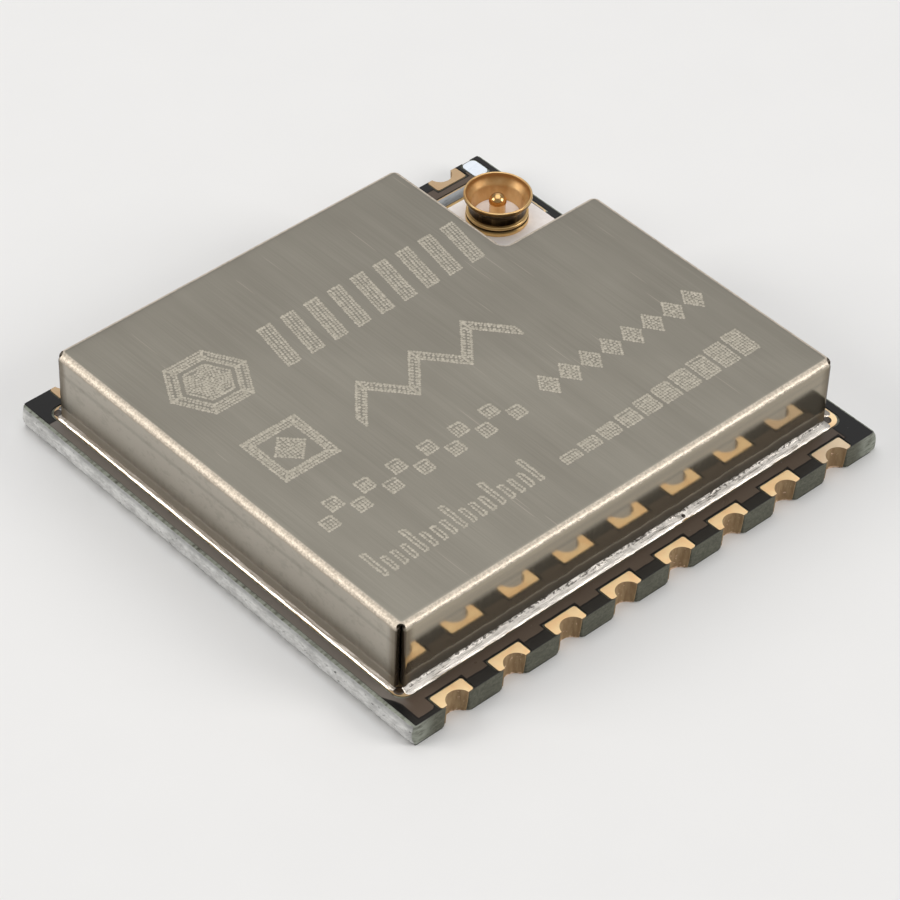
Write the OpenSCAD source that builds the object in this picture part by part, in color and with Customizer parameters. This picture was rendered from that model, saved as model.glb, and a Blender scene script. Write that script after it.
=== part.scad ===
// Shielded radio module: a castellated circuit board under a folded metal can, with a micro
// coaxial receptacle standing in the can's corner notch.
//
// Frame: the origin is the centre of the board's underside, +X runs along the castellated
// edges, +Y runs towards the receptacle's side and +Z is up. All sizes are in millimetres.

/* [Board] */
// Length over the snapped webs at the board's two ends
board_l = 17.22; // [17:0.02:22]
// Width between the two castellated edges
board_w = 16; // [16:0.1:21]
// Finished thickness, with the solder mask of both faces
board_t = 0.75; // [0.6:0.05:1.6]
// Corner radius of the board outline
board_r = 0.25; // [0.1:0.05:0.5]
// Thickness of the solder mask, and of the lands that lie flush in it
mask_t = 0.03; // [0.02:0.01:0.05]
// Gap between a land and the mask around it
mask_gap = 0.05; // [0.03:0.01:0.08]
// How far each score flank steps in from the snapped web
score_in = 0.18; // [0.06:0.01:0.2]
// Height of each score flank
score_h = 0.2; // [0.1:0.01:0.25]

/* [Castellated contacts] */
// Contacts along each long edge
pad_count = 8; // [4:1:8]
// Distance from one contact to the next
pad_pitch = 2; // [1.6:0.1:2]
// Width of a contact's land
pad_w = 1.1; // [1:0.05:1.2]
// Depth of a contact's land from the board edge
pad_d = 0.48; // [0.42:0.02:0.6]
// Radius of the land's two inner corners
pad_r = 0.1; // [0.05:0.01:0.2]
// Radius that trims the land back from the board edge
pad_trim_r = 0.1; // [0.05:0.01:0.15]
// Radius of the plated half hole
hole_r = 0.37; // [0.3:0.01:0.38]
// How far the half holes' centres lie outside the board edge
hole_out = 0.07; // [0:0.01:0.1]
// Thickness of the copper in the half holes
plate_t = 0.04; // [0.03:0.01:0.05]

/* [Shield can] */
// Outside length of the can, along X
can_l = 15.83; // [15.4:0.01:16]
// Outside width of the can, along Y
can_w = 13.97; // [13.6:0.01:14.1]
// Height of the can above the board
can_h = 2.25; // [2.2:0.05:3]
// Thickness of the can's sheet
sheet_t = 0.2; // [0.15:0.01:0.25]
// Outside radius of the can's bends
bend_r = 0.26; // [0.26:0.01:0.4]
// Inside radius of the drawn corner in the notch
notch_r = 0.15; // [0.1:0.05:0.4]
// Clearance from the receptacle's tail and foot to the can's notch, along X and Y
notch_clear = [0.7, 1.1]; // [0.5:0.05:1.2]
// Width of the slit that splits each drawn corner
slit = 0.13; // [0.06:0.01:0.14]
// How much each side of a slit has opened at its foot
slit_taper = 0.04; // [0:0.01:0.06]
// Radius of the relief that each slit ends in
relief_r = 0.075; // [0.07:0.005:0.09]
// How far the relief's centre lies below the can's top
relief_drop = 0.12; // [0.1:0.01:0.15]
// Placement of the can from the centre of its land, along X
can_dx = -0.075; // [-0.1:0.005:0.1]
// Placement of the can from the centre of its land, along Y
can_dy = 0.035; // [-0.1:0.005:0.1]

/* [Shield land and solder] */
// How far the land shows outside a centred can
land_margin = 0.22; // [0.15:0.01:0.25]
// Width of the land's band
land_band = 0.75; // [0.6:0.05:1]
// Corner radius of the land's band
land_r = 0.35; // [0.2:0.05:0.5]
// Placement of the land from the board's centre, along Y
land_dy = 0.09; // [0:0.01:0.15]
// Height of a solder fillet for each millimetre of its width
solder_slope = 0.85; // [0.5:0.05:1.2]
// Bare land left between a solder fillet and the land's edge
solder_inset = 0.015; // [0.01:0.005:0.03]

/* [Corner land] */
// Length of the tinned land in the board's corner
corner_l = 0.5; // [0.4:0.05:0.5]
// Width of the tinned land in the board's corner
corner_w = 0.7; // [0.5:0.05:0.75]
// Corner radius of the tinned land
corner_r = 0.15; // [0.05:0.01:0.2]
// Mask left between the tinned land and the board's two edges
corner_in = [0.2, 0.05]; // [0.05:0.05:0.3]

/* [Receptacle] */
// Distance from the receptacle's feet to the board's end and to its castellated edge
rec_in = [0.36, 1.24]; // [0.2:0.01:1.4]
// Side of the square moulded base
rec_w = 2.5; // [2.4:0.1:2.8]
// Height of the moulded base
rec_base_h = 0.35; // [0.3:0.05:0.45]
// Corner radius of the moulded base
rec_r = 0.12; // [0.05:0.01:0.3]
// Height of the whole receptacle above the board
rec_h = 1.25; // [1.2:0.05:1.5]
// Outside radius of the snap lip
lip_r = 1; // [0.95:0.01:1.05]
// Height of the straight band round the snap lip
lip_h = 0.08; // [0.06:0.01:0.12]
// Outside radius of the waist that a plug's ring springs into
waist_r = 0.83; // [0.75:0.01:0.85]
// Height of the flare from the waist out to the snap lip
flare_h = 0.3; // [0.25:0.01:0.35]
// Outside radius of the flange on the moulded base
flange_r = 0.92; // [0.88:0.01:1]
// Height of the flange
flange_h = 0.3; // [0.24:0.01:0.3]
// Height of the groove's lower edge above the foot of the flange
groove_z = 0.15; // [0.12:0.01:0.17]
// Height of the groove round the flange
groove_h = 0.05; // [0.04:0.01:0.06]
// Depth of the groove
groove_d = 0.06; // [0.04:0.01:0.07]
// Wall thickness of the outer contact
shell_t = 0.08; // [0.06:0.01:0.1]
// Thickness of the soldered feet
foot_t = 0.1; // [0.08:0.01:0.15]
// Width of the two wide ground feet
foot_w = 2; // [1.6:0.1:2.2]
// How far the ground feet stand out of the base
foot_out = 0.3; // [0.2:0.05:0.4]
// Width of the rear foot
rear_w = 0.7; // [0.5:0.05:0.8]
// How far the rear foot stands out of the base
rear_out = 0.2; // [0.1:0.05:0.25]
// Width of the opening in the outer contact for the signal tail
tail_gap = 0.9; // [0.8:0.05:1]
// Width of the signal tail
tail_w = 0.5; // [0.4:0.05:0.55]
// How far the signal tail stands out of the base
tail_out = 0.35; // [0.2:0.05:0.45]
// Radius of the centre pin's ball
ball_r = 0.24; // [0.2:0.01:0.26]
// Radius of the centre pin's neck
neck_r = 0.19; // [0.15:0.01:0.2]
// How far the centre pin stays below the snap lip
pin_drop = 0.05; // [0.05:0.05:0.2]
// How far the lands reach in under the base
land_under = 0.2; // [0.1:0.05:0.3]
// How far the ground lands show beyond their feet
ground_toe = 0.45; // [0.3:0.05:0.5]
// How far the rear and signal lands show beyond their feet
small_toe = 0.15; // [0.1:0.05:0.2]
// How much wider than its foot the ground, rear and signal land is
land_wider = [0.1, 0.15, 0.4]; // [0.1:0.05:0.4]

/* [Controller chip] */
// Side of the square leadless package
chip_w = 5; // [4:0.5:5]
// Height of the leadless package
chip_h = 0.85; // [0.7:0.05:1]
// Terminals on each side
chip_count = 8; // [6:1:8]
// Distance from one terminal to the next
chip_pitch = 0.5; // [0.4:0.05:0.5]
// Width, length and thickness of a terminal
chip_term = [0.24, 0.4, 0.2]; // [0.2:0.02:0.4]
// Side of the thermal pad
chip_pad = 3.4; // [2.6:0.1:3.4]
// Centre of the package on the board
chip_at = [-2.6, -2.2]; // [-2.8:0.1:-2]

/* [Memory chip] */
// Size of the moulded body
mem_size = [3.9, 4.9, 1.4]; // [1.2:0.1:4.9]
// Span over the gull-wing leads
mem_span = 6; // [5.8:0.1:6.2]
// Gap under the moulded body
mem_gap = 0.12; // [0.1:0.02:0.2]
// Leads on each side
mem_count = 4; // [2:1:4]
// Distance from one lead to the next
mem_pitch = 1.27; // [1:0.01:1.27]
// Width of a lead
lead_w = 0.42; // [0.35:0.01:0.5]
// Thickness of a lead
lead_t = 0.2; // [0.15:0.01:0.25]
// Length of a lead's foot on its land
lead_foot = 0.6; // [0.5:0.05:0.7]
// Centre of the body on the board
mem_at = [4.1, -3.3]; // [-3.4:0.1:4.2]

/* [Crystal] */
// Size of the ceramic case
xtal_size = [3.2, 2.5, 0.55]; // [0.5:0.05:3.2]
// Thickness of the metal lid
xtal_lid_t = 0.15; // [0.1:0.05:0.25]
// How far the lid steps in from the case
xtal_step = 0.2; // [0.1:0.05:0.3]
// Size of a terminal land under the case
xtal_pad = [1, 0.85]; // [0.7:0.05:1.1]
// Centre of the crystal on the board
xtal_at = [-4.7, 3.5]; // [-4.8:0.1:3.6]

/* [Chip passives] */
// Length of a passive, over its end caps
passive_l = 1; // [0.9:0.05:1.1]
// Width of a passive
passive_w = 0.5; // [0.4:0.05:0.6]
// Length of an end cap
cap_l = 0.25; // [0.15:0.05:0.3]
// Height of a capacitor
capacitor_h = 0.5; // [0.4:0.05:0.6]
// Height of a resistor
resistor_h = 0.35; // [0.3:0.05:0.45]
// Height of an inductor
inductor_h = 0.55; // [0.4:0.05:0.6]

/* [Hidden] */
$fn = 64;
past = 1; // how far a cutting shape runs past what it cuts

// Board planes and edges
laminate_z = [mask_t, board_t - mask_t];
mask_l = board_l - 2 * score_in;
edge_y = board_w / 2;

// Receptacle centre on the board, and its inner radius
rec_x = mask_l / 2 - rec_in[0] - rear_out - rec_w / 2;
rec_y = edge_y - rec_in[1] - foot_out - rec_w / 2;
bore_r = waist_r - shell_t;
edge_break = 0.03; // chamfer on the flange of the outer contact
lip_round = 0.02; // chamfer on the snap lip

// Outside faces of the can, and of the notch that clears the receptacle
can_x = [can_dx - can_l / 2, can_dx + can_l / 2];
can_y = [land_dy + can_dy - can_w / 2, land_dy + can_dy + can_w / 2];
can_top = board_t + can_h;
notch_x = rec_x - rec_w / 2 - tail_out - notch_clear[0];
notch_y = rec_y - rec_w / 2 - foot_out - notch_clear[1];

// Bend lines of the can, and of its notch
line_low = [can_x[0] + bend_r, can_y[0] + bend_r];
line_high = [can_x[1] - bend_r, can_y[1] - bend_r];
line_notch = [notch_x - bend_r, notch_y - bend_r];

// Outside edges of the can's land, and of its notch
land_x = [-can_l / 2 - land_margin, can_l / 2 + land_margin];
land_y = [land_dy - can_w / 2 - land_margin, land_dy + can_w / 2 + land_margin];
land_notch_x = land_x[1] - (can_x[1] - notch_x);
land_notch_y = land_y[1] - (can_y[1] - notch_y);
land_in_r = land_r / 2;

// Lands under the receptacle: inner edge from its centre, then length and width
rec_land_in = rec_w / 2 - land_under;
rec_land_r = 0.05; // corner radius
ground_land = [land_under + foot_out + ground_toe, foot_w + land_wider[0]];
rear_land = [land_under + rear_out + small_toe, rear_w + land_wider[1]];
signal_land = [land_under + tail_out + small_toe, tail_w + land_wider[2]];
toe_inset = 0.04; // bare land left beyond a foot's solder

// Lands under the chip parts
foot_margin = 0.08; // land shown round a foot
passive_land = [cap_l + 2 * foot_margin, passive_w + 2 * foot_margin];

// Centres and turns of the chip passives on the board
capacitor_at = [
    [-6.2, -2.9, 90], [-6.2, -0.6, 90], [-4.3, -5.7, 0],
    [-0.9, -5.7, 0], [0.4, 3.9, 90], [2.6, 5.6, 90]
];
resistor_at = [[-2.6, -5.7, 0], [-2.2, 2.2, 0], [2.6, 0.6, 0]];
inductor_at = [[-0.6, 2.2, 0], [1.5, 4.9, 0], [2.6, 3.5, 90]];

// ---------------------------------------------------------------- flat shapes

// A rectangle between two corners, with rounded corners
module rounded(low, high, r) {
    size = high - low;
    translate([low[0] + r, low[1]])
        square([size[0] - 2 * r, size[1]]);
    translate([low[0], low[1] + r])
        square([size[0], size[1] - 2 * r]);
    for (x = [low[0] + r, high[0] - r], y = [low[1] + r, high[1] - r])
        translate([x, y])
            circle(r);
}

// An outline with one corner notched: two rectangles that share the low corner
module notched(low, high, notch, r) {
    rounded(low, [high[0], notch[1]], r);
    rounded(low, [notch[0], high[1]], r);
}

// Puts its children at every contact, with +Y pointing into the board
module at_contacts() {
    for (i = [1:2 * pad_count])
        at_contact(i)
            children();
}

// Contact i: the first row runs along the front edge, the second along the back
module at_contact(i) {
    back = i > pad_count;
    k = back ? i - pad_count : i;
    x = (k - (pad_count + 1) / 2) * pad_pitch;
    translate([x, back ? edge_y : -edge_y])
        rotate(back ? 180 : 0)
            children();
}

// A contact's land, cut back at the board edge and grown by a margin
module contact_land(grow) {
    w = pad_w / 2 + grow;
    d = pad_d + grow;
    translate([-w, pad_trim_r])
        square([2 * w, d - pad_r - pad_trim_r]);
    translate([-w + pad_r, d - pad_r])
        square([2 * (w - pad_r), pad_r]);
    translate([-w + pad_trim_r, 0])
        square([2 * (w - pad_trim_r), pad_trim_r]);
    for (x = [-1, 1]) {
        translate([x * (w - pad_r), d - pad_r])
            circle(pad_r);
        translate([x * (w - pad_trim_r), pad_trim_r])
            circle(pad_trim_r);
    }
}

// The board's outline with its half holes drilled to a radius
module board_outline(drill_r) {
    difference() {
        rounded([-board_l / 2, -edge_y], [board_l / 2, edge_y], board_r);
        at_contacts()
            translate([0, -hole_out])
                circle(drill_r);
    }
}

// The band of land that the can is soldered to
module ground_land_shape(grow) {
    band = [land_band + grow, land_band + grow];
    wide = [grow, grow];
    low = [land_x[0], land_y[0]];
    high = [land_x[1], land_y[1]];
    notch = [land_notch_x, land_notch_y];
    difference() {
        notched(low - wide, high + wide, notch + wide, land_r);
        notched(low + band - wide, high - band + wide, notch - band + wide, land_in_r);
    }
}

// The tinned land in the board's corner
module corner_land_shape(grow) {
    high = [mask_l / 2, edge_y] - corner_in;
    low = high - [corner_l, corner_w];
    wide = [grow, grow];
    rounded(low - wide, high + wide, corner_r);
}

// The four lands that the receptacle is soldered to
module receptacle_land_shapes(grow) {
    translate([rec_x, rec_y]) {
        for (turn = [90, 270])
            rotate(turn)
                outward_land(rec_land_in, ground_land, grow);
        outward_land(rec_land_in, rear_land, grow);
        rotate(180)
            outward_land(rec_land_in, signal_land, grow);
    }
}

// A land that starts at a distance along +X and has a length and a width
module outward_land(start, size, grow) {
    low = [start - grow, -size[1] / 2 - grow];
    high = [start + size[0] + grow, size[1] / 2 + grow];
    rounded(low, high, rec_land_r);
}

// A rectangle about a centre
module centred(size, grow) {
    square([size[0] + 2 * grow, size[1] + 2 * grow], center = true);
}

// The lands under every part inside the can
module component_land_shapes(grow) {
    translate(chip_at) {
        centred([chip_pad, chip_pad], grow);
        at_chip_terminals()
            centred([chip_term[0], chip_term[1] + foot_margin], grow / 2);
    }
    translate(mem_at)
        at_memory_leads()
            translate([mem_span / 2 - lead_foot / 2, 0])
                centred([lead_foot, lead_w] + 2 * [foot_margin, foot_margin], grow);
    translate(xtal_at)
        at_crystal_pads()
            centred(xtal_pad, grow);
    for (place = concat(capacitor_at, resistor_at, inductor_at))
        at_passive(place)
            for (x = [-1, 1])
                translate([x * (passive_l - cap_l) / 2, 0])
                    centred(passive_land, grow);
}

// ---------------------------------------------------------------- places of the chip parts

module at_chip_terminals() {
    for (turn = [0:90:270], k = [1:chip_count])
        rotate(turn)
            translate([(k - (chip_count + 1) / 2) * chip_pitch, chip_w / 2 - chip_term[1] / 2])
                children();
}

module at_memory_leads() {
    for (turn = [0, 180], k = [1:mem_count])
        rotate(turn)
            translate([0, (k - (mem_count + 1) / 2) * mem_pitch])
                children();
}

module at_crystal_pads() {
    for (x = [-1, 1], y = [-1, 1])
        translate([x * (xtal_size[0] - xtal_pad[0]) / 2, y * (xtal_size[1] - xtal_pad[1]) / 2])
            children();
}

module at_passive(place) {
    translate([place[0], place[1]])
        rotate(place[2])
            children();
}

// ---------------------------------------------------------------- board

// The laminate's long section: each end is a snapped web between two score flanks
module score_section() {
    web = board_l / 2;
    flank = mask_l / 2;
    low = laminate_z[0];
    high = laminate_z[1];
    polygon([
        [flank, low], [web, low + score_h], [web, high - score_h], [flank, high],
        [-flank, high], [-web, high - score_h], [-web, low + score_h], [-flank, low]
    ]);
}

module laminate() {
    color([0.45, 0.46, 0.42])
        intersection() {
            linear_extrude(board_t)
                board_outline(hole_r + plate_t);
            rotate([90, 0, 0])
                linear_extrude(board_w + 2 * past, center = true)
                    score_section();
        }
}

// A sheet of solder mask that leaves its children open
module mask_sheet(z) {
    translate([0, 0, z])
        linear_extrude(mask_t)
            difference() {
                intersection() {
                    board_outline(hole_r + plate_t);
                    square([mask_l, board_w], center = true);
                }
                at_contacts()
                    contact_opening();
                children();
            }
}

// The mask's opening round a contact's land, open at the board edge
module contact_opening() {
    contact_land(mask_gap);
    translate([-pad_w / 2 + pad_trim_r - mask_gap, -past])
        square([pad_w - 2 * pad_trim_r + 2 * mask_gap, past + pad_trim_r]);
}

module mask_top() {
    color([0.13, 0.12, 0.12])
        mask_sheet(laminate_z[1]) {
            ground_land_shape(mask_gap);
            corner_land_shape(mask_gap);
            receptacle_land_shapes(mask_gap);
            component_land_shapes(mask_gap);
        }
}

module mask_bottom() {
    color([0.13, 0.12, 0.12])
        mask_sheet(0);
}

// One castellated contact: a land on each face, joined by the plating of the half hole
module contact(i) {
    color([0.95, 0.78, 0.55])
        at_contact(i) {
            for (z = [0, laminate_z[1]])
                translate([0, 0, z])
                    linear_extrude(mask_t)
                        difference() {
                            contact_land(0);
                            translate([0, -hole_out])
                                circle(hole_r);
                        }
            linear_extrude(board_t)
                intersection() {
                    translate([0, -hole_out])
                        difference() {
                            circle(hole_r + plate_t);
                            circle(hole_r);
                        }
                    translate([-pad_w, 0])
                        square([2 * pad_w, pad_w]);
                }
        }
}

// Copper that lies flush in the top mask
module top_copper() {
    translate([0, 0, laminate_z[1]])
        linear_extrude(mask_t)
            children();
}

module ground_land() {
    color([0.9, 0.72, 0.48])
        top_copper()
            ground_land_shape(0);
}

module corner_land() {
    color([0.8, 0.84, 0.9])
        top_copper()
            corner_land_shape(0);
}

module receptacle_lands() {
    color([0.9, 0.72, 0.48])
        top_copper()
            receptacle_land_shapes(0);
}

module component_lands() {
    color([0.9, 0.72, 0.48])
        top_copper()
            component_land_shapes(0);
}

// ---------------------------------------------------------------- shield can

// A bend and its wall, drawn from the bend line outwards
module flap_section() {
    translate([bend_r - sheet_t, board_t])
        square([sheet_t, can_h - bend_r]);
    translate([0, can_top - bend_r])
        intersection() {
            difference() {
                circle(bend_r);
                circle(bend_r - sheet_t);
            }
            square(bend_r);
        }
}

// A straight flap between two places along +X, folded down towards -Y
module flap(from, to) {
    translate([from, bend_r, 0])
        rotate([90, 0, 90])
            linear_extrude(to - from)
                mirror([1, 0])
                    flap_section();
}

// The keyhole that splits a corner, cut outwards along the corner's diagonal
module slit_keyhole() {
    neck = slit / 2;
    foot = neck + slit_taper;
    relief_z = can_top - relief_drop;
    rotate([90, 0, 90])
        linear_extrude(bend_r + past) {
            translate([0, relief_z])
                circle(relief_r);
            polygon([
                [-foot, board_t - past], [foot, board_t - past], [foot, board_t],
                [neck, relief_z], [-neck, relief_z], [-foot, board_t]
            ]);
        }
}

// A drawn outside corner, turned about the place where its two bend lines cross
module drawn_corner(at, turn) {
    translate(at)
        rotate(turn)
            difference() {
                rotate_extrude(angle = 90)
                    flap_section();
                rotate(45)
                    slit_keyhole();
            }
}

// The round inside corner of the notch, where the wall turns without a slit
module notch_corner() {
    translate([notch_x + notch_r, notch_y + notch_r])
        rotate(180)
            rotate_extrude(angle = 90)
                translate([notch_r + bend_r, 0])
                    mirror([1, 0])
                        flap_section();
}

// The can's flat top, inside the bend lines
module can_top_shape() {
    translate(line_low)
        square([line_high[0] - line_low[0], line_notch[1] - line_low[1]]);
    translate(line_low)
        square([line_notch[0] - line_low[0], line_high[1] - line_low[1]]);
    translate(line_notch)
        difference() {
            square(bend_r + notch_r);
            translate([bend_r + notch_r, bend_r + notch_r])
                circle(bend_r + notch_r);
        }
}

module shield_can() {
    color([0.62, 0.6, 0.55]) {
        translate([0, 0, can_top - sheet_t])
            linear_extrude(sheet_t)
                can_top_shape();
        // front wall
        translate([0, can_y[0], 0])
            flap(line_low[0], line_high[0]);
        drawn_corner([line_high[0], line_low[1]], 270);
        // right wall, up to the notch
        translate([can_x[1], 0, 0])
            rotate(90)
                flap(line_low[1], line_notch[1]);
        drawn_corner([line_high[0], line_notch[1]], 0);
        // notch walls on either side of the round corner
        translate([0, notch_y, 0])
            rotate(180)
                flap(-line_high[0], -notch_x - notch_r);
        notch_corner();
        translate([notch_x, 0, 0])
            rotate(90)
                flap(notch_y + notch_r, line_high[1]);
        drawn_corner([line_notch[0], line_high[1]], 0);
        // back wall, up to the notch
        translate([0, can_y[1], 0])
            rotate(180)
                flap(-line_notch[0], -line_low[0]);
        drawn_corner([line_low[0], line_high[1]], 90);
        // left wall
        translate([can_x[0], 0, 0])
            rotate(270)
                flap(-line_high[1], -line_low[1]);
        drawn_corner(line_low, 180);
    }
}

// ---------------------------------------------------------------- solder

// The section of a concave fillet that climbs its wall over a run
function fillet_section(run, rise) =
    concat([[0, 0]], [for (share = [0:0.2:1]) [run * (1 - share), rise * share * share]]);

// A fillet from one place to another along +X, lying on -Y of its wall
module fillet(from, to, w) {
    translate([from, 0, board_t])
        rotate([90, 0, 90])
            linear_extrude(to - from)
                polygon(fillet_section(-w, w * solder_slope));
}

module solder_front() {
    color([0.82, 0.82, 0.82])
        translate([0, can_y[0], 0])
            fillet(line_low[0], line_high[0], can_y[0] - land_y[0] - solder_inset);
}

module solder_back() {
    color([0.82, 0.82, 0.82])
        translate([0, can_y[1], 0])
            rotate(180)
                fillet(-line_notch[0], -line_low[0], land_y[1] - can_y[1] - solder_inset);
}

module solder_left() {
    color([0.82, 0.82, 0.82])
        translate([can_x[0], 0, 0])
            rotate(270)
                fillet(-line_high[1], -line_low[1], can_x[0] - land_x[0] - solder_inset);
}

module solder_right() {
    color([0.82, 0.82, 0.82])
        translate([can_x[1], 0, 0])
            rotate(90)
                fillet(line_low[1], line_notch[1], land_x[1] - can_x[1] - solder_inset);
}

// ---------------------------------------------------------------- micro coaxial receptacle

// Puts its children at the receptacle's centre, on the board
module at_receptacle() {
    translate([rec_x, rec_y, board_t])
        children();
}

// Outside radius of the outer contact at a share of the flare's height
function flare(share) = waist_r + (lip_r - waist_r) * (1 - cos(180 * share)) / 2;

// The outer contact's section above the base: grooved flange, waist, flare and snap lip
module snap_section() {
    flange_top = rec_base_h + flange_h;
    groove_low = rec_base_h + groove_z;
    groove_top = groove_low + groove_h;
    groove_r = flange_r - groove_d;
    lip_top = rec_h - lip_round;
    flare_top = lip_top - lip_h;
    flare_low = flare_top - flare_h;
    polygon(concat(
        [
            [bore_r, rec_base_h], [flange_r - edge_break, rec_base_h],
            [flange_r, rec_base_h + edge_break], [flange_r, groove_low],
            [groove_r, groove_low], [groove_r, groove_top],
            [flange_r, groove_top], [flange_r, flange_top - edge_break],
            [flange_r - edge_break, flange_top], [waist_r, flange_top]
        ],
        [for (share = [0:0.2:1]) [flare(share), flare_low + flare_h * share]],
        [
            [lip_r, lip_top], [lip_r - lip_round, rec_h],
            [lip_r - shell_t + lip_round, rec_h], [lip_r - shell_t, lip_top]
        ],
        [for (share = [1:-0.2:0]) [flare(share) - shell_t, flare_low + flare_h * share]]
    ));
}

// The outer contact inside and under the base: a split ring with three feet
module shell_root() {
    difference() {
        union() {
            cylinder(h = rec_base_h, r = waist_r);
            linear_extrude(foot_t) {
                circle(flange_r);
                for (side = [-1, 1])
                    translate([-foot_w / 2, side > 0 ? 0 : -rec_w / 2 - foot_out])
                        square([foot_w, rec_w / 2 + foot_out]);
                translate([0, -rear_w / 2])
                    square([rec_w / 2 + rear_out, rear_w]);
            }
        }
        translate([0, 0, -past])
            cylinder(h = rec_base_h + 2 * past, r = bore_r);
        translate([-2 * rec_w, -tail_gap / 2, -past])
            cube([2 * rec_w, tail_gap, rec_base_h + 2 * past]);
    }
}

module shell_body() {
    shell_root();
    rotate_extrude()
        snap_section();
}

// The centre pin with its signal tail
module pin_body() {
    pin_top = rec_h - pin_drop;
    rotate_extrude() {
        square([neck_r, pin_top - ball_r]);
        translate([0, pin_top - ball_r])
            intersection() {
                circle(ball_r);
                translate([0, -ball_r])
                    square(2 * ball_r);
            }
    }
    translate([-rec_w / 2 - tail_out, -tail_w / 2, 0])
        cube([rec_w / 2 + tail_out, tail_w, foot_t]);
}

module receptacle_base() {
    color([0.88, 0.85, 0.82])
        at_receptacle()
            difference() {
                linear_extrude(rec_base_h)
                    rounded([-rec_w / 2, -rec_w / 2], [rec_w / 2, rec_w / 2], rec_r);
                shell_root();
                pin_body();
            }
}

module receptacle_shell() {
    color([0.85, 0.62, 0.35])
        at_receptacle()
            shell_body();
}

module receptacle_pin() {
    color([0.88, 0.66, 0.38])
        at_receptacle()
            pin_body();
}

// A solder fillet across the end of a foot that points along +X
module foot_solder(foot_end, land, w) {
    run = rec_land_in + land[0] - foot_end - toe_inset;
    translate([foot_end, w / 2, 0])
        rotate([90, 0, 0])
            linear_extrude(w)
                polygon(fillet_section(run, foot_t));
}

module receptacle_solder() {
    color([0.7, 0.72, 0.75])
        at_receptacle() {
            for (turn = [90, 270])
                rotate(turn)
                    foot_solder(rec_w / 2 + foot_out, ground_land, foot_w);
            foot_solder(rec_w / 2 + rear_out, rear_land, rear_w);
            rotate(180)
                foot_solder(rec_w / 2 + tail_out, signal_land, tail_w);
        }
}

// ---------------------------------------------------------------- parts under the can

// Puts its children on the board at a place
module on_board(place) {
    translate([place[0], place[1], board_t])
        children();
}

module chip_metal() {
    linear_extrude(chip_term[2]) {
        centred([chip_pad, chip_pad], 0);
        at_chip_terminals()
            centred([chip_term[0], chip_term[1]], 0);
    }
}

module controller_body() {
    color([0.12, 0.12, 0.13])
        on_board(chip_at)
            difference() {
                linear_extrude(chip_h)
                    centred([chip_w, chip_w], 0);
                chip_metal();
            }
}

module controller_terminals() {
    color([0.8, 0.8, 0.8])
        on_board(chip_at)
            chip_metal();
}

// A gull-wing lead's section, from inside the body out to the foot
module lead_section() {
    mid = mem_gap + mem_size[2] / 2;
    out = mem_span / 2;
    knee = out - lead_foot;
    body = mem_size[0] / 2;
    translate([knee, 0])
        square([lead_foot, lead_t]);
    translate([knee, 0])
        square([lead_t, mid + lead_t / 2]);
    translate([body, mid - lead_t / 2])
        square([knee - body + lead_t, lead_t]);
}

module memory_body() {
    color([0.12, 0.12, 0.13])
        on_board(mem_at)
            translate([-mem_size[0] / 2, -mem_size[1] / 2, mem_gap])
                cube(mem_size);
}

module memory_leads() {
    color([0.8, 0.8, 0.8])
        on_board(mem_at)
            at_memory_leads()
                translate([0, lead_w / 2, 0])
                    rotate([90, 0, 0])
                        linear_extrude(lead_w)
                            lead_section();
}

module crystal_case() {
    color([0.75, 0.72, 0.66])
        on_board(xtal_at)
            translate([0, 0, xtal_size[2] / 2])
                cube(xtal_size, center = true);
}

module crystal_lid() {
    color([0.78, 0.76, 0.7])
        on_board(xtal_at)
            translate([0, 0, xtal_size[2]])
                linear_extrude(xtal_lid_t)
                    centred([xtal_size[0], xtal_size[1]], -xtal_step);
}

// The middle of a chip passive, between its end caps
module passive_body(place, h) {
    on_board(place)
        rotate(place[2])
            linear_extrude(h)
                centred([passive_l - 2 * cap_l, passive_w], 0);
}

// Both end caps of every passive in a list
module passive_caps(places, h) {
    color([0.8, 0.8, 0.8])
        for (place = places)
            on_board(place)
                rotate(place[2])
                    for (x = [-1, 1])
                        translate([x * (passive_l - cap_l) / 2, 0, 0])
                            linear_extrude(h)
                                centred([cap_l, passive_w], 0);
}

module capacitor(i) {
    color([0.72, 0.6, 0.45])
        passive_body(capacitor_at[i - 1], capacitor_h);
}

module resistor(i) {
    color([0.15, 0.15, 0.17])
        passive_body(resistor_at[i - 1], resistor_h);
}

module inductor(i) {
    color([0.5, 0.65, 0.72])
        passive_body(inductor_at[i - 1], inductor_h);
}

module capacitor_caps() {
    passive_caps(capacitor_at, capacitor_h);
}

module resistor_caps() {
    passive_caps(resistor_at, resistor_h);
}

module inductor_caps() {
    passive_caps(inductor_at, inductor_h);
}

// ---------------------------------------------------------------- nodes

laminate();
mask_top();
mask_bottom();
for (i = [1:2 * pad_count])
    contact(i);
ground_land();
corner_land();
receptacle_lands();
component_lands();
shield_can();
solder_front();
solder_back();
solder_left();
solder_right();
receptacle_base();
receptacle_shell();
receptacle_pin();
receptacle_solder();
controller_body();
controller_terminals();
memory_body();
memory_leads();
crystal_case();
crystal_lid();
for (i = [1:len(capacitor_at)])
    capacitor(i);
for (i = [1:len(resistor_at)])
    resistor(i);
for (i = [1:len(inductor_at)])
    inductor(i);
capacitor_caps();
resistor_caps();
inductor_caps();
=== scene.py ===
"""Looks of a shielded radio module: folded can, solder, castellated board and micro coaxial receptacle.

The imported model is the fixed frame: its boxes give every place, and the pieces made here stand for the
CAD nodes whose curved faces need a finer mesh. Lengths in the classes are millimetres, and meshes are
written in metres. The brushed sheet carries its own flat pattern, so that the brushing follows the folds.
"""

from __future__ import annotations

import logging
import math
from collections.abc import Sequence
from dataclasses import dataclass, field
from enum import Enum

import bmesh
import bpy
from mathutils import Euler, Matrix, Vector, noise


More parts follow.
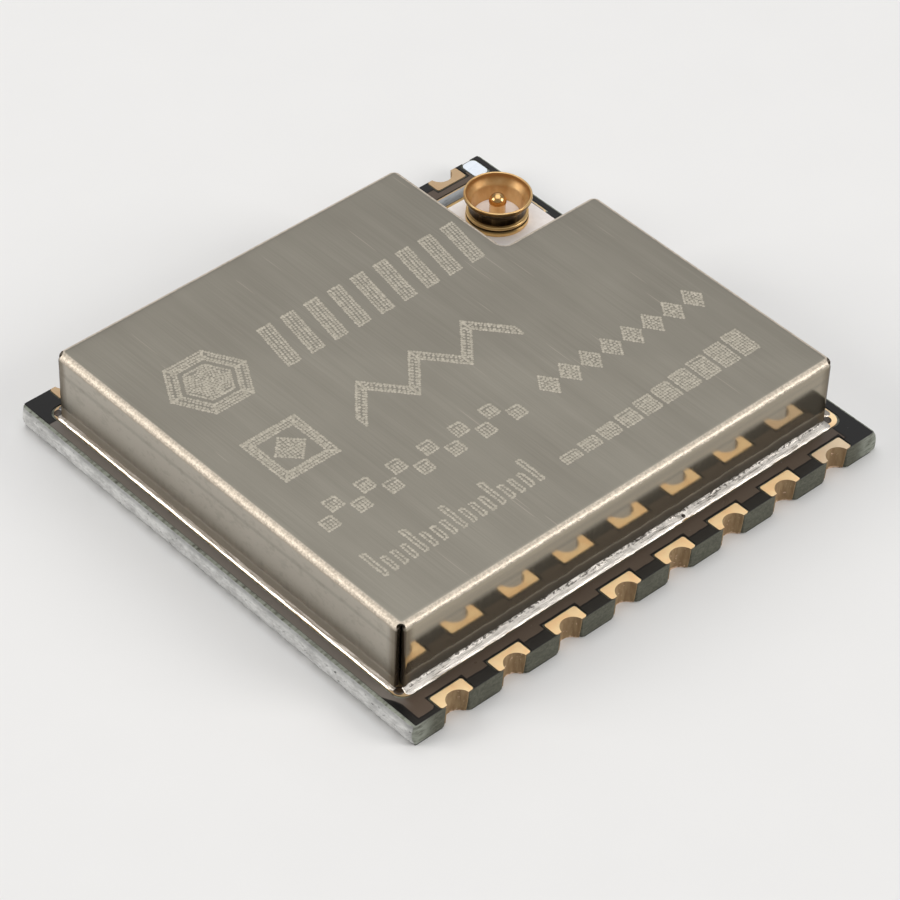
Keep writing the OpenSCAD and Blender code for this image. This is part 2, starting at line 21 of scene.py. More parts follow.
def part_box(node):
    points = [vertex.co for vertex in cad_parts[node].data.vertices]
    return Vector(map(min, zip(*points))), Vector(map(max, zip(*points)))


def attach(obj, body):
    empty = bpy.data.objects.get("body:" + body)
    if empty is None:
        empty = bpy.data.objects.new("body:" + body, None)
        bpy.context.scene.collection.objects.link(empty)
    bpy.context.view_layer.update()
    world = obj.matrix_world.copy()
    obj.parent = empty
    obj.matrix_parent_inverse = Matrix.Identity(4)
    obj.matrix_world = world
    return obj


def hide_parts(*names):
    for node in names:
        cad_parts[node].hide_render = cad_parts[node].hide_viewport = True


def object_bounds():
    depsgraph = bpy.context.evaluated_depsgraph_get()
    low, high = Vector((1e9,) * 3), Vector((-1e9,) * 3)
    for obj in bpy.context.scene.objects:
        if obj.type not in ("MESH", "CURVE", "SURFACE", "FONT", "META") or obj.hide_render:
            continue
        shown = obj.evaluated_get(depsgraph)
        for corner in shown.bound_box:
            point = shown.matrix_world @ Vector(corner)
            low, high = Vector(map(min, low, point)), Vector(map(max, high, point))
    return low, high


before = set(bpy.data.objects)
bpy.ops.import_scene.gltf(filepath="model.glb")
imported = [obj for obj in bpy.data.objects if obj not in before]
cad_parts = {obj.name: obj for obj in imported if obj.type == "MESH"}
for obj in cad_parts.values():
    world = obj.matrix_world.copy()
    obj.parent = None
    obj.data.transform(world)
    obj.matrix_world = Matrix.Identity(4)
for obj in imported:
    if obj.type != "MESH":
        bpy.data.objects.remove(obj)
cad_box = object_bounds()

LOG = logging.getLogger("radio_module")
MM = 0.001
BODY = "root"

Colour = tuple[float, float, float]
Flat = tuple[float, float]
Point = tuple[float, float, float]


# ---------------------------------------------------------------- node trees


class Term:
    """A node's output that takes part in sums: each operator adds the node that works it out."""

    def __init__(self, tree: Nodes, socket: bpy.types.NodeSocket | None) -> None:
        """Wraps a socket.

        Args:
            tree: The tree that the socket belongs to.
            socket: The output socket, or None on a node that ends its tree.
        """
        self.tree = tree
        self.socket = socket

    def __add__(self, other: Term | float) -> Term:
        """Gives self + other."""
        return self.tree.maths("ADD", self, other)

    def __radd__(self, other: float) -> Term:
        """Gives other + self."""
        return self.tree.maths("ADD", other, self)

    def __sub__(self, other: Term | float) -> Term:
        """Gives self - other."""
        return self.tree.maths("SUBTRACT", self, other)

    def __rsub__(self, other: float) -> Term:
        """Gives other - self."""
        return self.tree.maths("SUBTRACT", other, self)

    def __mul__(self, other: Term | float) -> Term:
        """Gives self * other."""
        return self.tree.maths("MULTIPLY", self, other)

    def __rmul__(self, other: float) -> Term:
        """Gives other * self."""
        return self.tree.maths("MULTIPLY", other, self)

    def __abs__(self) -> Term:
        """Gives the value without its sign."""
        return self.tree.maths("ABSOLUTE", self)


Input = Term | float | Sequence[float]


class Nodes:
    """A node tree, written as expressions."""

    def __init__(self, tree: bpy.types.NodeTree) -> None:
        """Takes an empty tree."""
        self.tree = tree

    def node(
        self,
        kind: str,
        settings: dict[str, object] | None = None,
        inputs: dict[str | int, Input] | None = None,
        out: str | int = 0,
    ) -> Term:
        """Adds one node of any type.

        Args:
            kind: The node's type.
            settings: Properties, which are set first.
            inputs: Values or links of its sockets, by name or number.
            out: The output socket wanted.

        Returns:
            That output.
        """
        made = self.tree.nodes.new(kind)
        for key, value in (settings or {}).items():
            setattr(made, key, value)
        for key, value in (inputs or {}).items():
            if isinstance(value, Term):
                self.tree.links.new(value.socket, made.inputs[key])
            else:
                made.inputs[key].default_value = value
        return Term(self, made.outputs[out] if made.outputs else None)

    def maths(self, operation: str, *terms: Input) -> Term:
        """Works out one operation on values, or on vectors where a term is one.

        Args:
            operation: A Math or Vector Math operation.
            terms: Its operands.

        Returns:
            The result.
        """
        vectors = any(isinstance(t, Term) and t.socket.type == "VECTOR" for t in terms)
        kind = "ShaderNodeVectorMath" if vectors else "ShaderNodeMath"
        return self.node(kind, {"operation": operation}, dict(enumerate(terms)))


class Repeats(Nodes):
    """A Geometry Nodes tree that repeats a shape, with named inputs for its sizes."""

    def __init__(self, name: str, inputs: dict[str, str], result: str) -> None:
        """Starts a tree.

        Args:
            name: The tree's name.
            inputs: Each input's name and what it holds. The first one is the piece's own mesh.
            result: The output's name.
        """
        super().__init__(bpy.data.node_groups.new(name, "GeometryNodeTree"))
        add_socket = self.tree.interface.new_socket
        for key, kind in inputs.items():
            add_socket(key, in_out="INPUT", socket_type=f"NodeSocket{kind}")
        add_socket(result, in_out="OUTPUT", socket_type="NodeSocketGeometry")
        self.result = result
        self.sockets = self.tree.nodes.new("NodeGroupInput").outputs

    def given(self, name: str) -> Term:
        """One of the tree's inputs."""
        return Term(self, self.sockets[name])

    def joined(self, *parts: Term) -> Term:
        """Puts parts together, in the order given."""
        both = self.node("GeometryNodeJoinGeometry")
        for part in parts:
            self.tree.links.new(part.socket, both.socket.node.inputs["Geometry"])
        return both

    def finish(self, instances: Term, material: Term) -> None:
        """Ends the tree: instances are made real and painted.

        Args:
            instances: What the tree has repeated.
            material: Their material.
        """
        real = self.node("GeometryNodeRealizeInstances", {}, {"Geometry": instances})
        painted = self.node("GeometryNodeSetMaterial", {}, {"Geometry": real, "Material": material})
        self.node("NodeGroupOutput", {}, {self.result: painted})

    def apply(self, piece: bpy.types.Object, values: dict[str, object]) -> None:
        """Runs the tree on a piece, whose plain mesh the result becomes.

        Args:
            piece: The piece.
            values: Each named input's value, set by its socket's identifier.
        """
        modifier = piece.modifiers.new(self.tree.name, "NODES")
        modifier.node_group = self.tree
        for item in self.tree.interface.items_tree:
            if item.item_type == "SOCKET" and item.in_out == "INPUT" and item.name in values:
                modifier[item.identifier] = values[item.name]
        applied(piece)


@dataclass(frozen=True)
class Grain:
    """A pattern of noise."""

    scale: float  # features for each millimetre
    detail: float = 2.0  # octaves
    rough: float = 0.5  # weight of the finer octaves
    warp: float = 0.0
    drawn: Point | None = None  # how each axis is scaled: the noise is drawn out along the small ones


class Graph(Nodes):
    """The node tree of one material."""

    MIX_COLOURS = (6, 7)  # a Mix node's colour inputs
    MIX_RESULT = 2  # its colour output

    def __init__(self, name: str) -> None:
        """Starts an empty material.

        Args:
            name: The material's name.
        """
        self.material = bpy.data.materials.new(name)
        self.material.use_nodes = True
        super().__init__(self.material.node_tree)
        self.tree.nodes.clear()

    def step(self, value: Term, low: float, high: float) -> Term:
        """Rises smoothly from 0 to 1 as a value passes from low to high, or falls where low is above high.

        Args:
            value: The value.
            low: Where the result is 0.
            high: Where the result is 1.

        Returns:
            The smooth step.
        """
        settings = {"interpolation_type": "SMOOTHSTEP"}
        if low < high:
            return self.node("ShaderNodeMapRange", settings, {0: value, 1: low, 2: high})
        return 1.0 - self.node("ShaderNodeMapRange", settings, {0: value, 1: high, 2: low})

    def noise(self, at: Term, grain: Grain) -> Term:
        """A noise value about 0.5.

        Args:
            at: Where, as a vector.
            grain: The pattern.

        Returns:
            The noise.
        """
        if grain.drawn is not None:
            at = self.maths("MULTIPLY", at, grain.drawn)
        inputs = {
            "Vector": at,
            "Scale": grain.scale,
            "Detail": grain.detail,
            "Roughness": grain.rough,
            "Distortion": grain.warp,
        }
        return self.node("ShaderNodeTexNoise", {}, inputs)

    def place(self) -> Term:
        """Object coordinates in millimetres."""
        coordinates = self.node("ShaderNodeTexCoord", out="Object")
        return self.node("ShaderNodeVectorMath", {"operation": "SCALE"}, {0: coordinates, "Scale": 1.0 / MM})

    def axes(self, vector: Term) -> tuple[Term, Term, Term]:
        """The three parts of a vector."""
        outputs = self.node("ShaderNodeSeparateXYZ", {}, {0: vector}).socket.node.outputs
        return Term(self, outputs[0]), Term(self, outputs[1]), Term(self, outputs[2])

    def facing(self) -> tuple[Term, Term, Term]:
        """The three parts of the surface's own normal, in the object's frame."""
        return self.axes(self.node("ShaderNodeTexCoord", out="Normal"))

    def blend(self, share: Term | float, first: Term | Colour, second: Term | Colour) -> Term:
        """Mixes two colours.

        Args:
            share: 0 for the first, 1 for the second.
            first: The first colour.
            second: The second colour.

        Returns:
            The mixed colour.
        """
        inputs: dict[str | int, Input] = {0: share}
        for socket, colour in zip(self.MIX_COLOURS, (first, second)):
            inputs[socket] = colour if isinstance(colour, Term) else (*colour, 1.0)
        return self.node("ShaderNodeMix", {"data_type": "RGBA"}, inputs, self.MIX_RESULT)

    def bump(self, height: Term, depth: float, over: Term | None = None) -> Term:
        """Turns a height into a normal.

        Args:
            height: The height, as a share of the depth.
            depth: The depth in millimetres.
            over: A normal that this one adds to.

        Returns:
            The normal.
        """
        inputs: dict[str | int, Input] = {"Height": height, "Distance": depth * MM, "Strength": 1.0}
        if over is not None:
            inputs["Normal"] = over
        return self.node("ShaderNodeBump", {}, inputs)

    def finish(self, **sockets: Input) -> bpy.types.Material:
        """Ends the graph in a Principled shader.

        Args:
            sockets: Its inputs by name, with underscores for spaces.

        Returns:
            The material.
        """
        inputs = {
            key.replace("_", " "): (*value, 1.0) if isinstance(value, tuple) and len(value) == 3 else value
            for key, value in sockets.items()
        }
        shader = self.node("ShaderNodeBsdfPrincipled", {}, inputs)
        self.node("ShaderNodeOutputMaterial", {}, {"Surface": shader})
        return self.material


def shifted(band: Flat, by: float) -> Flat:
    """A band of values, moved up by a distance."""
    return (by + band[0], by + band[1])


# ---------------------------------------------------------------- finishes


@dataclass(frozen=True)
class BrushedSheet:
    """Nickel silver sheet, brushed along Y before it was folded.

    The bends have a grainy, stretched skin under a painted pale highlight, which fades to painted shade low
    on each bend. The walls that fold across the brush lines stay almost a mirror, and a brown film of flux
    clings to them just above the solder. Each pair of places or shares says where a layer begins and where it
    is full.
    """

    middle: Flat  # of the can
    half: Flat  # half of the can's length and width
    name: str = "brushed_nickel_silver"
    dark: Colour = (0.215, 0.198, 0.165)
    light: Colour = (0.300, 0.280, 0.236)
    wall: Colour = (0.50, 0.46, 0.395)  # the walls along the brush lines, painted lighter than the top for the light they reflect
    polished: Colour = (0.45, 0.39, 0.295)  # the walls across the brush lines
    skin: Colour = (0.72, 0.635, 0.53)  # painted highlight on the bends, and the colour that scratches lighten towards
    # the darker grains of the painted highlight on the bends
    dim_bend_highlight: Colour = (0.50, 0.44, 0.36)
    low_bend_shade: Colour = (0.36, 0.285, 0.20)  # painted shade on the lower part of a bend
    soiled: Colour = (0.15, 0.135, 0.11)  # stains and drips on the walls along the brush lines
    film: Colour = (0.018, 0.013, 0.007)  # flux
    light_film: Colour = (0.066, 0.05, 0.033)
    thin_film: Colour = (0.19, 0.165, 0.13)  # flux on the walls along the brush lines
    corner: Colour = (0.045, 0.031, 0.018)  # painted shade on the rounded corners beside a slit
    corner_brown: Colour = (0.12, 0.088, 0.05)  # browner walls a little further from a slit
    brush: Grain = Grain(30.0, 3.0, 0.6, drawn=(1.0, 0.010, 1.0))
    broad: Grain = Grain(1.6, 3.0, 0.55, drawn=(1.0, 0.05, 1.0))
    clouds: Grain = Grain(0.3)
    scratches: Grain = Grain(9.0, 1.0, drawn=(1.0, 0.03, 1.0))
    pores: Grain = Grain(15.0, 3.0, 0.65)  # of the stretched skin
    mottle: Grain = Grain(3.2, 3.0, 0.65, drawn=(1.0, 1.0, 1.6))
    drips: Grain = Grain(5.0, 3.0, 0.6, drawn=(1.0, 1.0, 0.12))
    waver: Grain = Grain(1.7, 3.0, 0.6)  # of the edges of films and marks
    rolled: Grain = Grain(4.5, drawn=(0.02, 0.02, 1.0))
    brush_depth: float = 0.0007
    pore_depth: float = 0.013
    rough: float = 0.4
    mirror: float = 0.10  # roughness of the walls that fold across the brush lines
    tone: Flat = (0.25, 0.85)
    scratched: Flat = (0.735, 0.77)
    stained: Flat = (0.5, 0.68)
    rolled_dark: Flat = (0.35, 0.65)
    upright: Flat = (0.5, 0.9)  # how far a wall's normal points along X or Y
    bend_foot: Flat = (0.08, 0.36)  # how far a bend's normal points up at its lower edge
    bend_top: Flat = (0.988, 0.93)
    bend_low: Flat = (0.42, 0.16)
    foot: float = 0.75  # height of the walls' foot
    soil_top: Flat = (0.75, 0.1)  # above the foot, as the next three
    film_top: Flat = (0.56, 0.38)
    film_dark: Flat = (0.5, 0.2)
    thin_film_top: Flat = (0.42, 0.3)
    die_line: float = 2.36  # height of the mark that the folding die left on the walls
    die_reach: Flat = (0.11, 0.01)
    corner_brown_reach: Flat = (0.52, 0.24)  # from the can's square corner, along both sides

    def build(self) -> bpy.types.Material:
        """Builds the material."""
        g = Graph(self.name)
        flat = g.node("ShaderNodeAttribute", {"attribute_name": "flat"}, out="Vector")
        at = g.place()
        x, y, height = g.axes(at)
        across, along, up = g.facing()
        lines = g.noise(flat, self.brush)
        pores = g.noise(at, self.pores)
        drips = g.noise(at, self.drips)
        waver = g.noise(at, self.waver)
        cross_wall = g.step(abs(along), *self.upright)
        side_wall = g.step(abs(across), *self.upright)
        # the sheet's own tone, brushed and scratched
        tone = lines * 0.5 * (1.0 - cross_wall * 0.8) + g.noise(flat, self.broad) * 0.3
        tone = tone + g.noise(flat, self.clouds) * 0.3
        colour = g.blend(g.step(tone, *self.tone), self.dark, self.light)
        scratch = g.step(g.noise(flat, self.scratches), *self.scratched)
        colour = g.blend(scratch * 0.16, colour, self.skin)
        # the walls, with those along the brush lines painted lighter for the light they reflect, and their
        # stains, drips and the die's mark
        stain = g.step(g.noise(at, self.mottle), *self.stained) * side_wall
        low = g.step(height + (drips - 0.5) * 1.6, *shifted(self.soil_top, self.foot)) * side_wall
        # painted light: the walls along the brush lines are made lighter than the top
        colour = g.blend(side_wall * 0.9, colour, self.wall)
        colour = g.blend(cross_wall * 0.75, colour, self.polished)
        colour = g.blend(stain * 0.15 + low * 0.2, colour, self.soiled)
        from_mark = abs(height - self.die_line + (waver - 0.5) * 0.06)
        mark = g.step(from_mark, *self.die_reach) * (cross_wall + side_wall)
        rolled = g.step(g.noise(at, self.rolled), *self.rolled_dark) * cross_wall
        colour = g.blend(mark * 0.3 + rolled * 0.22, colour, self.dark)
        # flux above the solder
        film = cross_wall * g.step(height + (waver - 0.5) * 0.2, *shifted(self.film_top, self.foot))
        thin_top = shifted(self.thin_film_top, self.foot)
        thin_film = side_wall * g.step(height + (waver - 0.5) * 0.1, *thin_top)
        glaze = g.blend(g.step(height, *shifted(self.film_dark, self.foot)), self.light_film, self.film)
        colour = g.blend(film * 0.9, colour, glaze)
        colour = g.blend(thin_film * 0.85, colour, self.thin_film)
        # the corners: painted shade on their rounded halves, and browner walls towards their slits
        to_corner = self.half[0] + self.half[1] - abs(x - self.middle[0]) - abs(y - self.middle[1])
        corner_brown = g.step(to_corner + (drips - 0.5) * 0.2, *self.corner_brown_reach) * g.step(up, 0.3, 0.1)
        colour = g.blend(corner_brown * 0.7, colour, self.corner_brown)
        # painted shade on the rounded corner halves, where the normal points between X and Y
        corner = g.step(abs(along) * abs(across), 0.08, 0.34)
        colour = g.blend(corner * 0.9, colour, self.corner)
        # the bends: a grainy painted pale highlight, fading to painted shade on their lower part
        low_edge = g.step(abs(along), 0.25, 0.7) * 0.22
        bend = g.step(up + (pores - 0.5) * 0.3 - low_edge, *self.bend_foot) * g.step(up, *self.bend_top)
        skin = g.blend(g.step(pores, 0.36, 0.64), self.dim_bend_highlight, self.skin)
        skin = g.blend(g.step(up, *self.bend_low) * 0.75, skin, self.low_bend_shade)
        colour = g.blend(bend * (1.0 - corner * 0.8), colour, skin)
        rough = self.rough + (lines - 0.5) * 0.16 + cross_wall * (self.mirror - self.rough)
        rough = rough - side_wall * 0.08 + stain * 0.06 + film * 0.45 + thin_film * 0.3 + bend * 0.1
        metal = 1.0 - cross_wall * 0.1 - film * 0.85 - thin_film * 0.8 - bend * 0.42 - corner * 0.5
        normal = g.bump(lines * (1.0 - cross_wall * 0.6), self.brush_depth)
        normal = g.bump(pores * bend, self.pore_depth, normal)
        return g.finish(
            Base_Color=colour, Metallic=metal, Roughness=rough, Normal=normal, Specular_IOR_Level=0.3
        )


@dataclass(frozen=True)
class EtchedMark:
    """Cream laser marking: burnt beads with a dull, slightly uneven skin."""

    name: str = "etched_mark"
    dark: Colour = (0.36, 0.33, 0.27)
    light: Colour = (0.56, 0.515, 0.43)
    spots: Grain = Grain(9.0, 3.0, 0.7)
    fine: Grain = Grain(45.0)
    depth: float = 0.004

    def build(self) -> bpy.types.Material:
        """Builds the material."""
        g = Graph(self.name)
        at = g.place()
        fine = g.noise(at, self.fine)
        colour = g.blend(g.step(g.noise(at, self.spots), 0.3, 0.7), self.dark, self.light)
        normal = g.bump(fine, self.depth)
        return g.finish(Base_Color=colour, Metallic=0.55, Roughness=0.42 + fine * 0.2, Normal=normal)


@dataclass(frozen=True)
class SolderMask:
    """Glossy black mask, brownish where copper lies under it, with a painted shadow line along the step round
    that copper.
    """

    name: str = "solder_mask"
    bare: Colour = (0.0095, 0.009, 0.009)
    over_copper: Colour = (0.092, 0.066, 0.049)
    clouded: Colour = (0.105, 0.08, 0.062)
    scuff_and_sheen: Colour = (0.17, 0.15, 0.133)  # painted reflection of light along the left end
    # painted shadow along the step round the copper
    step: Colour = (0.001, 0.001, 0.001)
    dust: Colour = (0.4, 0.4, 0.4)
    ripples: Grain = Grain(3.0)
    clouds: Grain = Grain(1.1, 3.0)
    peel: Grain = Grain(14.0)
    specks: Grain = Grain(17.0, 1.0)
    peel_depth: float = 0.0016
    copper_depth: float = 0.004
    half_width: float = 8.0
    half_length: float = 8.43
    edge_band: float = 0.34  # bare strip along the board's edges
    near_edge: float = 0.12  # the same strip at the left end
    near_edge_x: Flat = (-7.75, -7.45)  # between the two strips
    end_band: float = -0.1  # below zero: the copper runs out through the snapped ends
    corner_shadow_band: float = 0.3  # painted shadow beside the front corners: the copper ends this much further in, leaving the mask there bare and black
    corner_shadow_y: Flat = (-6.4, -7.3)
    clear_corner: Flat = (7.2, 6.9)  # no copper both further left and further back than this
    pour_end: float = 7.7  # the copper ends here towards the right
    pitch: float = 2.0
    pad_half: float = 0.55
    pad_depth: float = 0.48
    moat: float = 0.06
    soft: float = 0.03  # how wide the step is
    line: Flat = (0.04, 0.008)  # the painted shadow line along it
    scuff_and_sheen_x: Flat = (-7.95, -8.1)
    scuff_and_sheen_y: Flat = (-7.6, -6.8)

    def build(self) -> bpy.types.Material:
        """Builds the material."""
        g = Graph(self.name)
        at = g.place()
        x, y, _ = g.axes(at)
        ripple = (g.noise(at, self.ripples) - 0.5) * 0.05
        to_edge = self.half_width - abs(y) + ripple
        to_end = self.half_length - abs(x) + ripple
        bare_edge = g.step(x, *self.near_edge_x) * (self.edge_band - self.near_edge) + self.near_edge
        # painted shadow beside the front corners, as bare black mask
        end_band = g.step(y, *self.corner_shadow_y) * self.corner_shadow_band + self.end_band
        beside = abs(g.maths("FLOORED_MODULO", x, self.pitch) - self.pitch / 2) + ripple
        pad = g.maths("MAXIMUM", beside - (self.pad_half + self.moat), to_edge - (self.pad_depth + self.moat))
        pad = g.maths("MAXIMUM", pad, abs(x) - self.half_width)
        inside = g.maths("MINIMUM", to_edge - bare_edge, to_end - end_band)
        inside = g.maths("MINIMUM", inside, pad)
        kept = g.maths("MAXIMUM", self.clear_corner[1] - y, x + self.clear_corner[0])
        inside = g.maths("MINIMUM", inside, kept)
        inside = g.maths("MINIMUM", inside, self.pour_end - x)
        pour = g.step(inside, -self.soft, self.soft)
        line = g.step(abs(inside), *self.line)
        cloud = g.noise(at, self.clouds)
        dust = g.step(g.noise(at, self.specks), 0.80, 0.84)
        tint = g.blend(pour, self.bare, self.over_copper)
        tint = g.blend(g.step(cloud, 0.35, 0.8) * 0.4 * pour, tint, self.clouded)
        # painted reflection of light: the mask over the copper is lighter along the left end
        tint = g.blend(g.step(x, *self.scuff_and_sheen_x) * g.step(y, *self.scuff_and_sheen_y) * pour, tint, self.scuff_and_sheen)
        # painted shadow line along the copper's step
        tint = g.blend(line * 0.8, tint, self.step)
        tint = g.blend(dust, tint, self.dust)
        rough = 0.22 + cloud * 0.16 + dust * 0.4 + line * 0.3
        normal = g.bump(g.noise(at, self.peel), self.peel_depth, g.bump(pour, self.copper_depth))
        return g.finish(Base_Color=tint, Roughness=rough, Normal=normal, IOR=1.5, Specular_IOR_Level=0.22)


@dataclass(frozen=True)
class Laminate:
    """Glass fibre laminate: pale torn fibres at the snapped ends, dark and fine along the milled edges."""

    name: str = "laminate"
    torn_dark: Colour = (0.42, 0.42, 0.41)
    torn_light: Colour = (0.68, 0.68, 0.665)
    shade_below_mask: Colour = (0.11, 0.113, 0.11)  # painted shade just under the mask
    # painted shade in the chipped pits of the torn ends
    pit: Colour = (0.05, 0.053, 0.05)
    milled_dark: Colour = (0.056, 0.057, 0.040)
    milled_light: Colour = (0.138, 0.140, 0.103)
    broken: Colour = (0.30, 0.32, 0.27)  # the milled edge beside a snapped end
    fibres: Grain = Grain(19.0, 4.0, 0.7, drawn=(1.0, 0.32, 1.0))
    clouds: Grain = Grain(3.0, drawn=(1.0, 0.6, 1.0))
    chips: Grain = Grain(8.5, 3.0, 0.6, drawn=(1.0, 0.7, 1.0))
    fine: Grain = Grain(15.0, 4.0, 0.75, drawn=(0.7, 1.0, 1.3))
    weave: Grain = Grain(7.0, 3.0, 0.6, drawn=(0.35, 1.0, 1.0))
    depth: float = 0.016
    half_length: float = 8.43
    end_reach: Flat = (-0.5, -0.3)  # from half the length, as the next
    broken_reach: Flat = (-0.75, -0.1)
    pit_height: Flat = (0.30, 0.05)
    top_height: Flat = (0.58, 0.68)

    def build(self) -> bpy.types.Material:
        """Builds the material."""
        g = Graph(self.name)
        at = g.place()
        x, _, height = g.axes(at)
        across, _, _ = g.facing()
        end = g.step(abs(across), 0.45, 0.8) * g.step(abs(x), *shifted(self.end_reach, self.half_length))
        fibres = g.noise(at, self.fibres)
        fine = g.noise(at, self.fine)
        weave = g.noise(at, self.weave)
        tone = fibres * 0.6 + g.noise(at, self.clouds) * 0.4
        torn = g.blend(g.step(tone, 0.36, 0.64), self.torn_dark, self.torn_light)
        # the chipped pits, painted dark as shade
        chips = g.noise(at, self.chips) + g.step(height, *self.pit_height) * 0.15
        torn = g.blend(g.step(chips, 0.64, 0.71) * 0.85, torn, self.pit)
        # painted shade on the torn ends just under the mask
        shade_below_mask_share = g.step(height + (fibres - 0.5) * 0.1, *self.top_height)
        torn = g.blend(shade_below_mask_share * 0.45, torn, self.shade_below_mask)
        milled = g.blend(g.step(weave * 0.3 + fine * 0.7, 0.36, 0.66), self.milled_dark, self.milled_light)
        beside = g.step(abs(x), *shifted(self.broken_reach, self.half_length))
        milled = g.blend(beside * g.step(weave, 0.25, 0.6), milled, self.broken)
        colour = g.blend(end, milled, torn)
        relief = fibres * end + fine * (1.0 - end) * 0.6
        return g.finish(Base_Color=colour, Roughness=0.62 + fine * 0.2, Normal=g.bump(relief, self.depth))


@dataclass(frozen=True)
class GoldPlate:
    """Immersion gold over copper: pale and satin on a land, brown and dull down a half hole."""

    name: str = "gold_plate"
    pale: Colour = (1.0, 0.785, 0.49)
    deep: Colour = (0.98, 0.71, 0.415)
    barrel: Colour = (0.40, 0.285, 0.16)
    barrel_dark: Colour = (0.30, 0.20, 0.11)
    rim: Colour = (0.75, 0.55, 0.4)  # rubbed places round a half hole's lower end
    aged: Colour = (0.42, 0.29, 0.18)  # handled contacts along the back edge
    scuff_and_sheen: Colour = (0.60, 0.50, 0.40)  # the front row's last contact
    clouds: Grain = Grain(2.4, 3.0)
    satin: Grain = Grain(38.0)
    drawn: Grain = Grain(9.0, 3.0, 0.6, drawn=(1.0, 1.0, 0.25))
    rubs: Grain = Grain(12.0)
    satin_depth: float = 0.0022
    drawn_depth: float = 0.004
    rough: float = 0.52
    aged_y: Flat = (3.0, 7.0)
    scuff_and_sheen_x: Flat = (6.0, 6.4)
    scuff_and_sheen_y: Flat = (-7.0, -7.3)
    rim_height: Flat = (0.10, 0.0)

    def build(self) -> bpy.types.Material:
        """Builds the material."""
        g = Graph(self.name)
        at = g.place()
        x, y, height = g.axes(at)
        _, _, up = g.facing()
        wall = g.step(abs(up), 0.6, 0.2)
        satin = g.noise(at, self.satin)
        drawn = g.noise(at, self.drawn)
        land = g.blend(g.step(g.noise(at, self.clouds), 0.35, 0.65), self.pale, self.deep)
        land = g.blend(g.step(y, *self.aged_y) * 0.75, land, self.aged)
        land = g.blend(g.step(x, *self.scuff_and_sheen_x) * g.step(y, *self.scuff_and_sheen_y) * 0.6, land, self.scuff_and_sheen)
        inside = g.blend(g.step(drawn, 0.35, 0.7), self.barrel_dark, self.barrel)
        rim = g.step(g.noise(at, self.rubs) + g.step(height, *self.rim_height) * 0.25, 0.66, 0.74)
        inside = g.blend(rim, inside, self.rim)
        colour = g.blend(wall, land, inside)
        rough = self.rough + (satin - 0.5) * 0.2 + wall * 0.25
        normal = g.bump(drawn * wall, self.drawn_depth, g.bump(satin, self.satin_depth))
        metal = 1.0 - wall * 0.9
        return g.finish(
            Base_Color=colour, Metallic=metal, Roughness=rough, Normal=normal, Specular_IOR_Level=0.15
        )


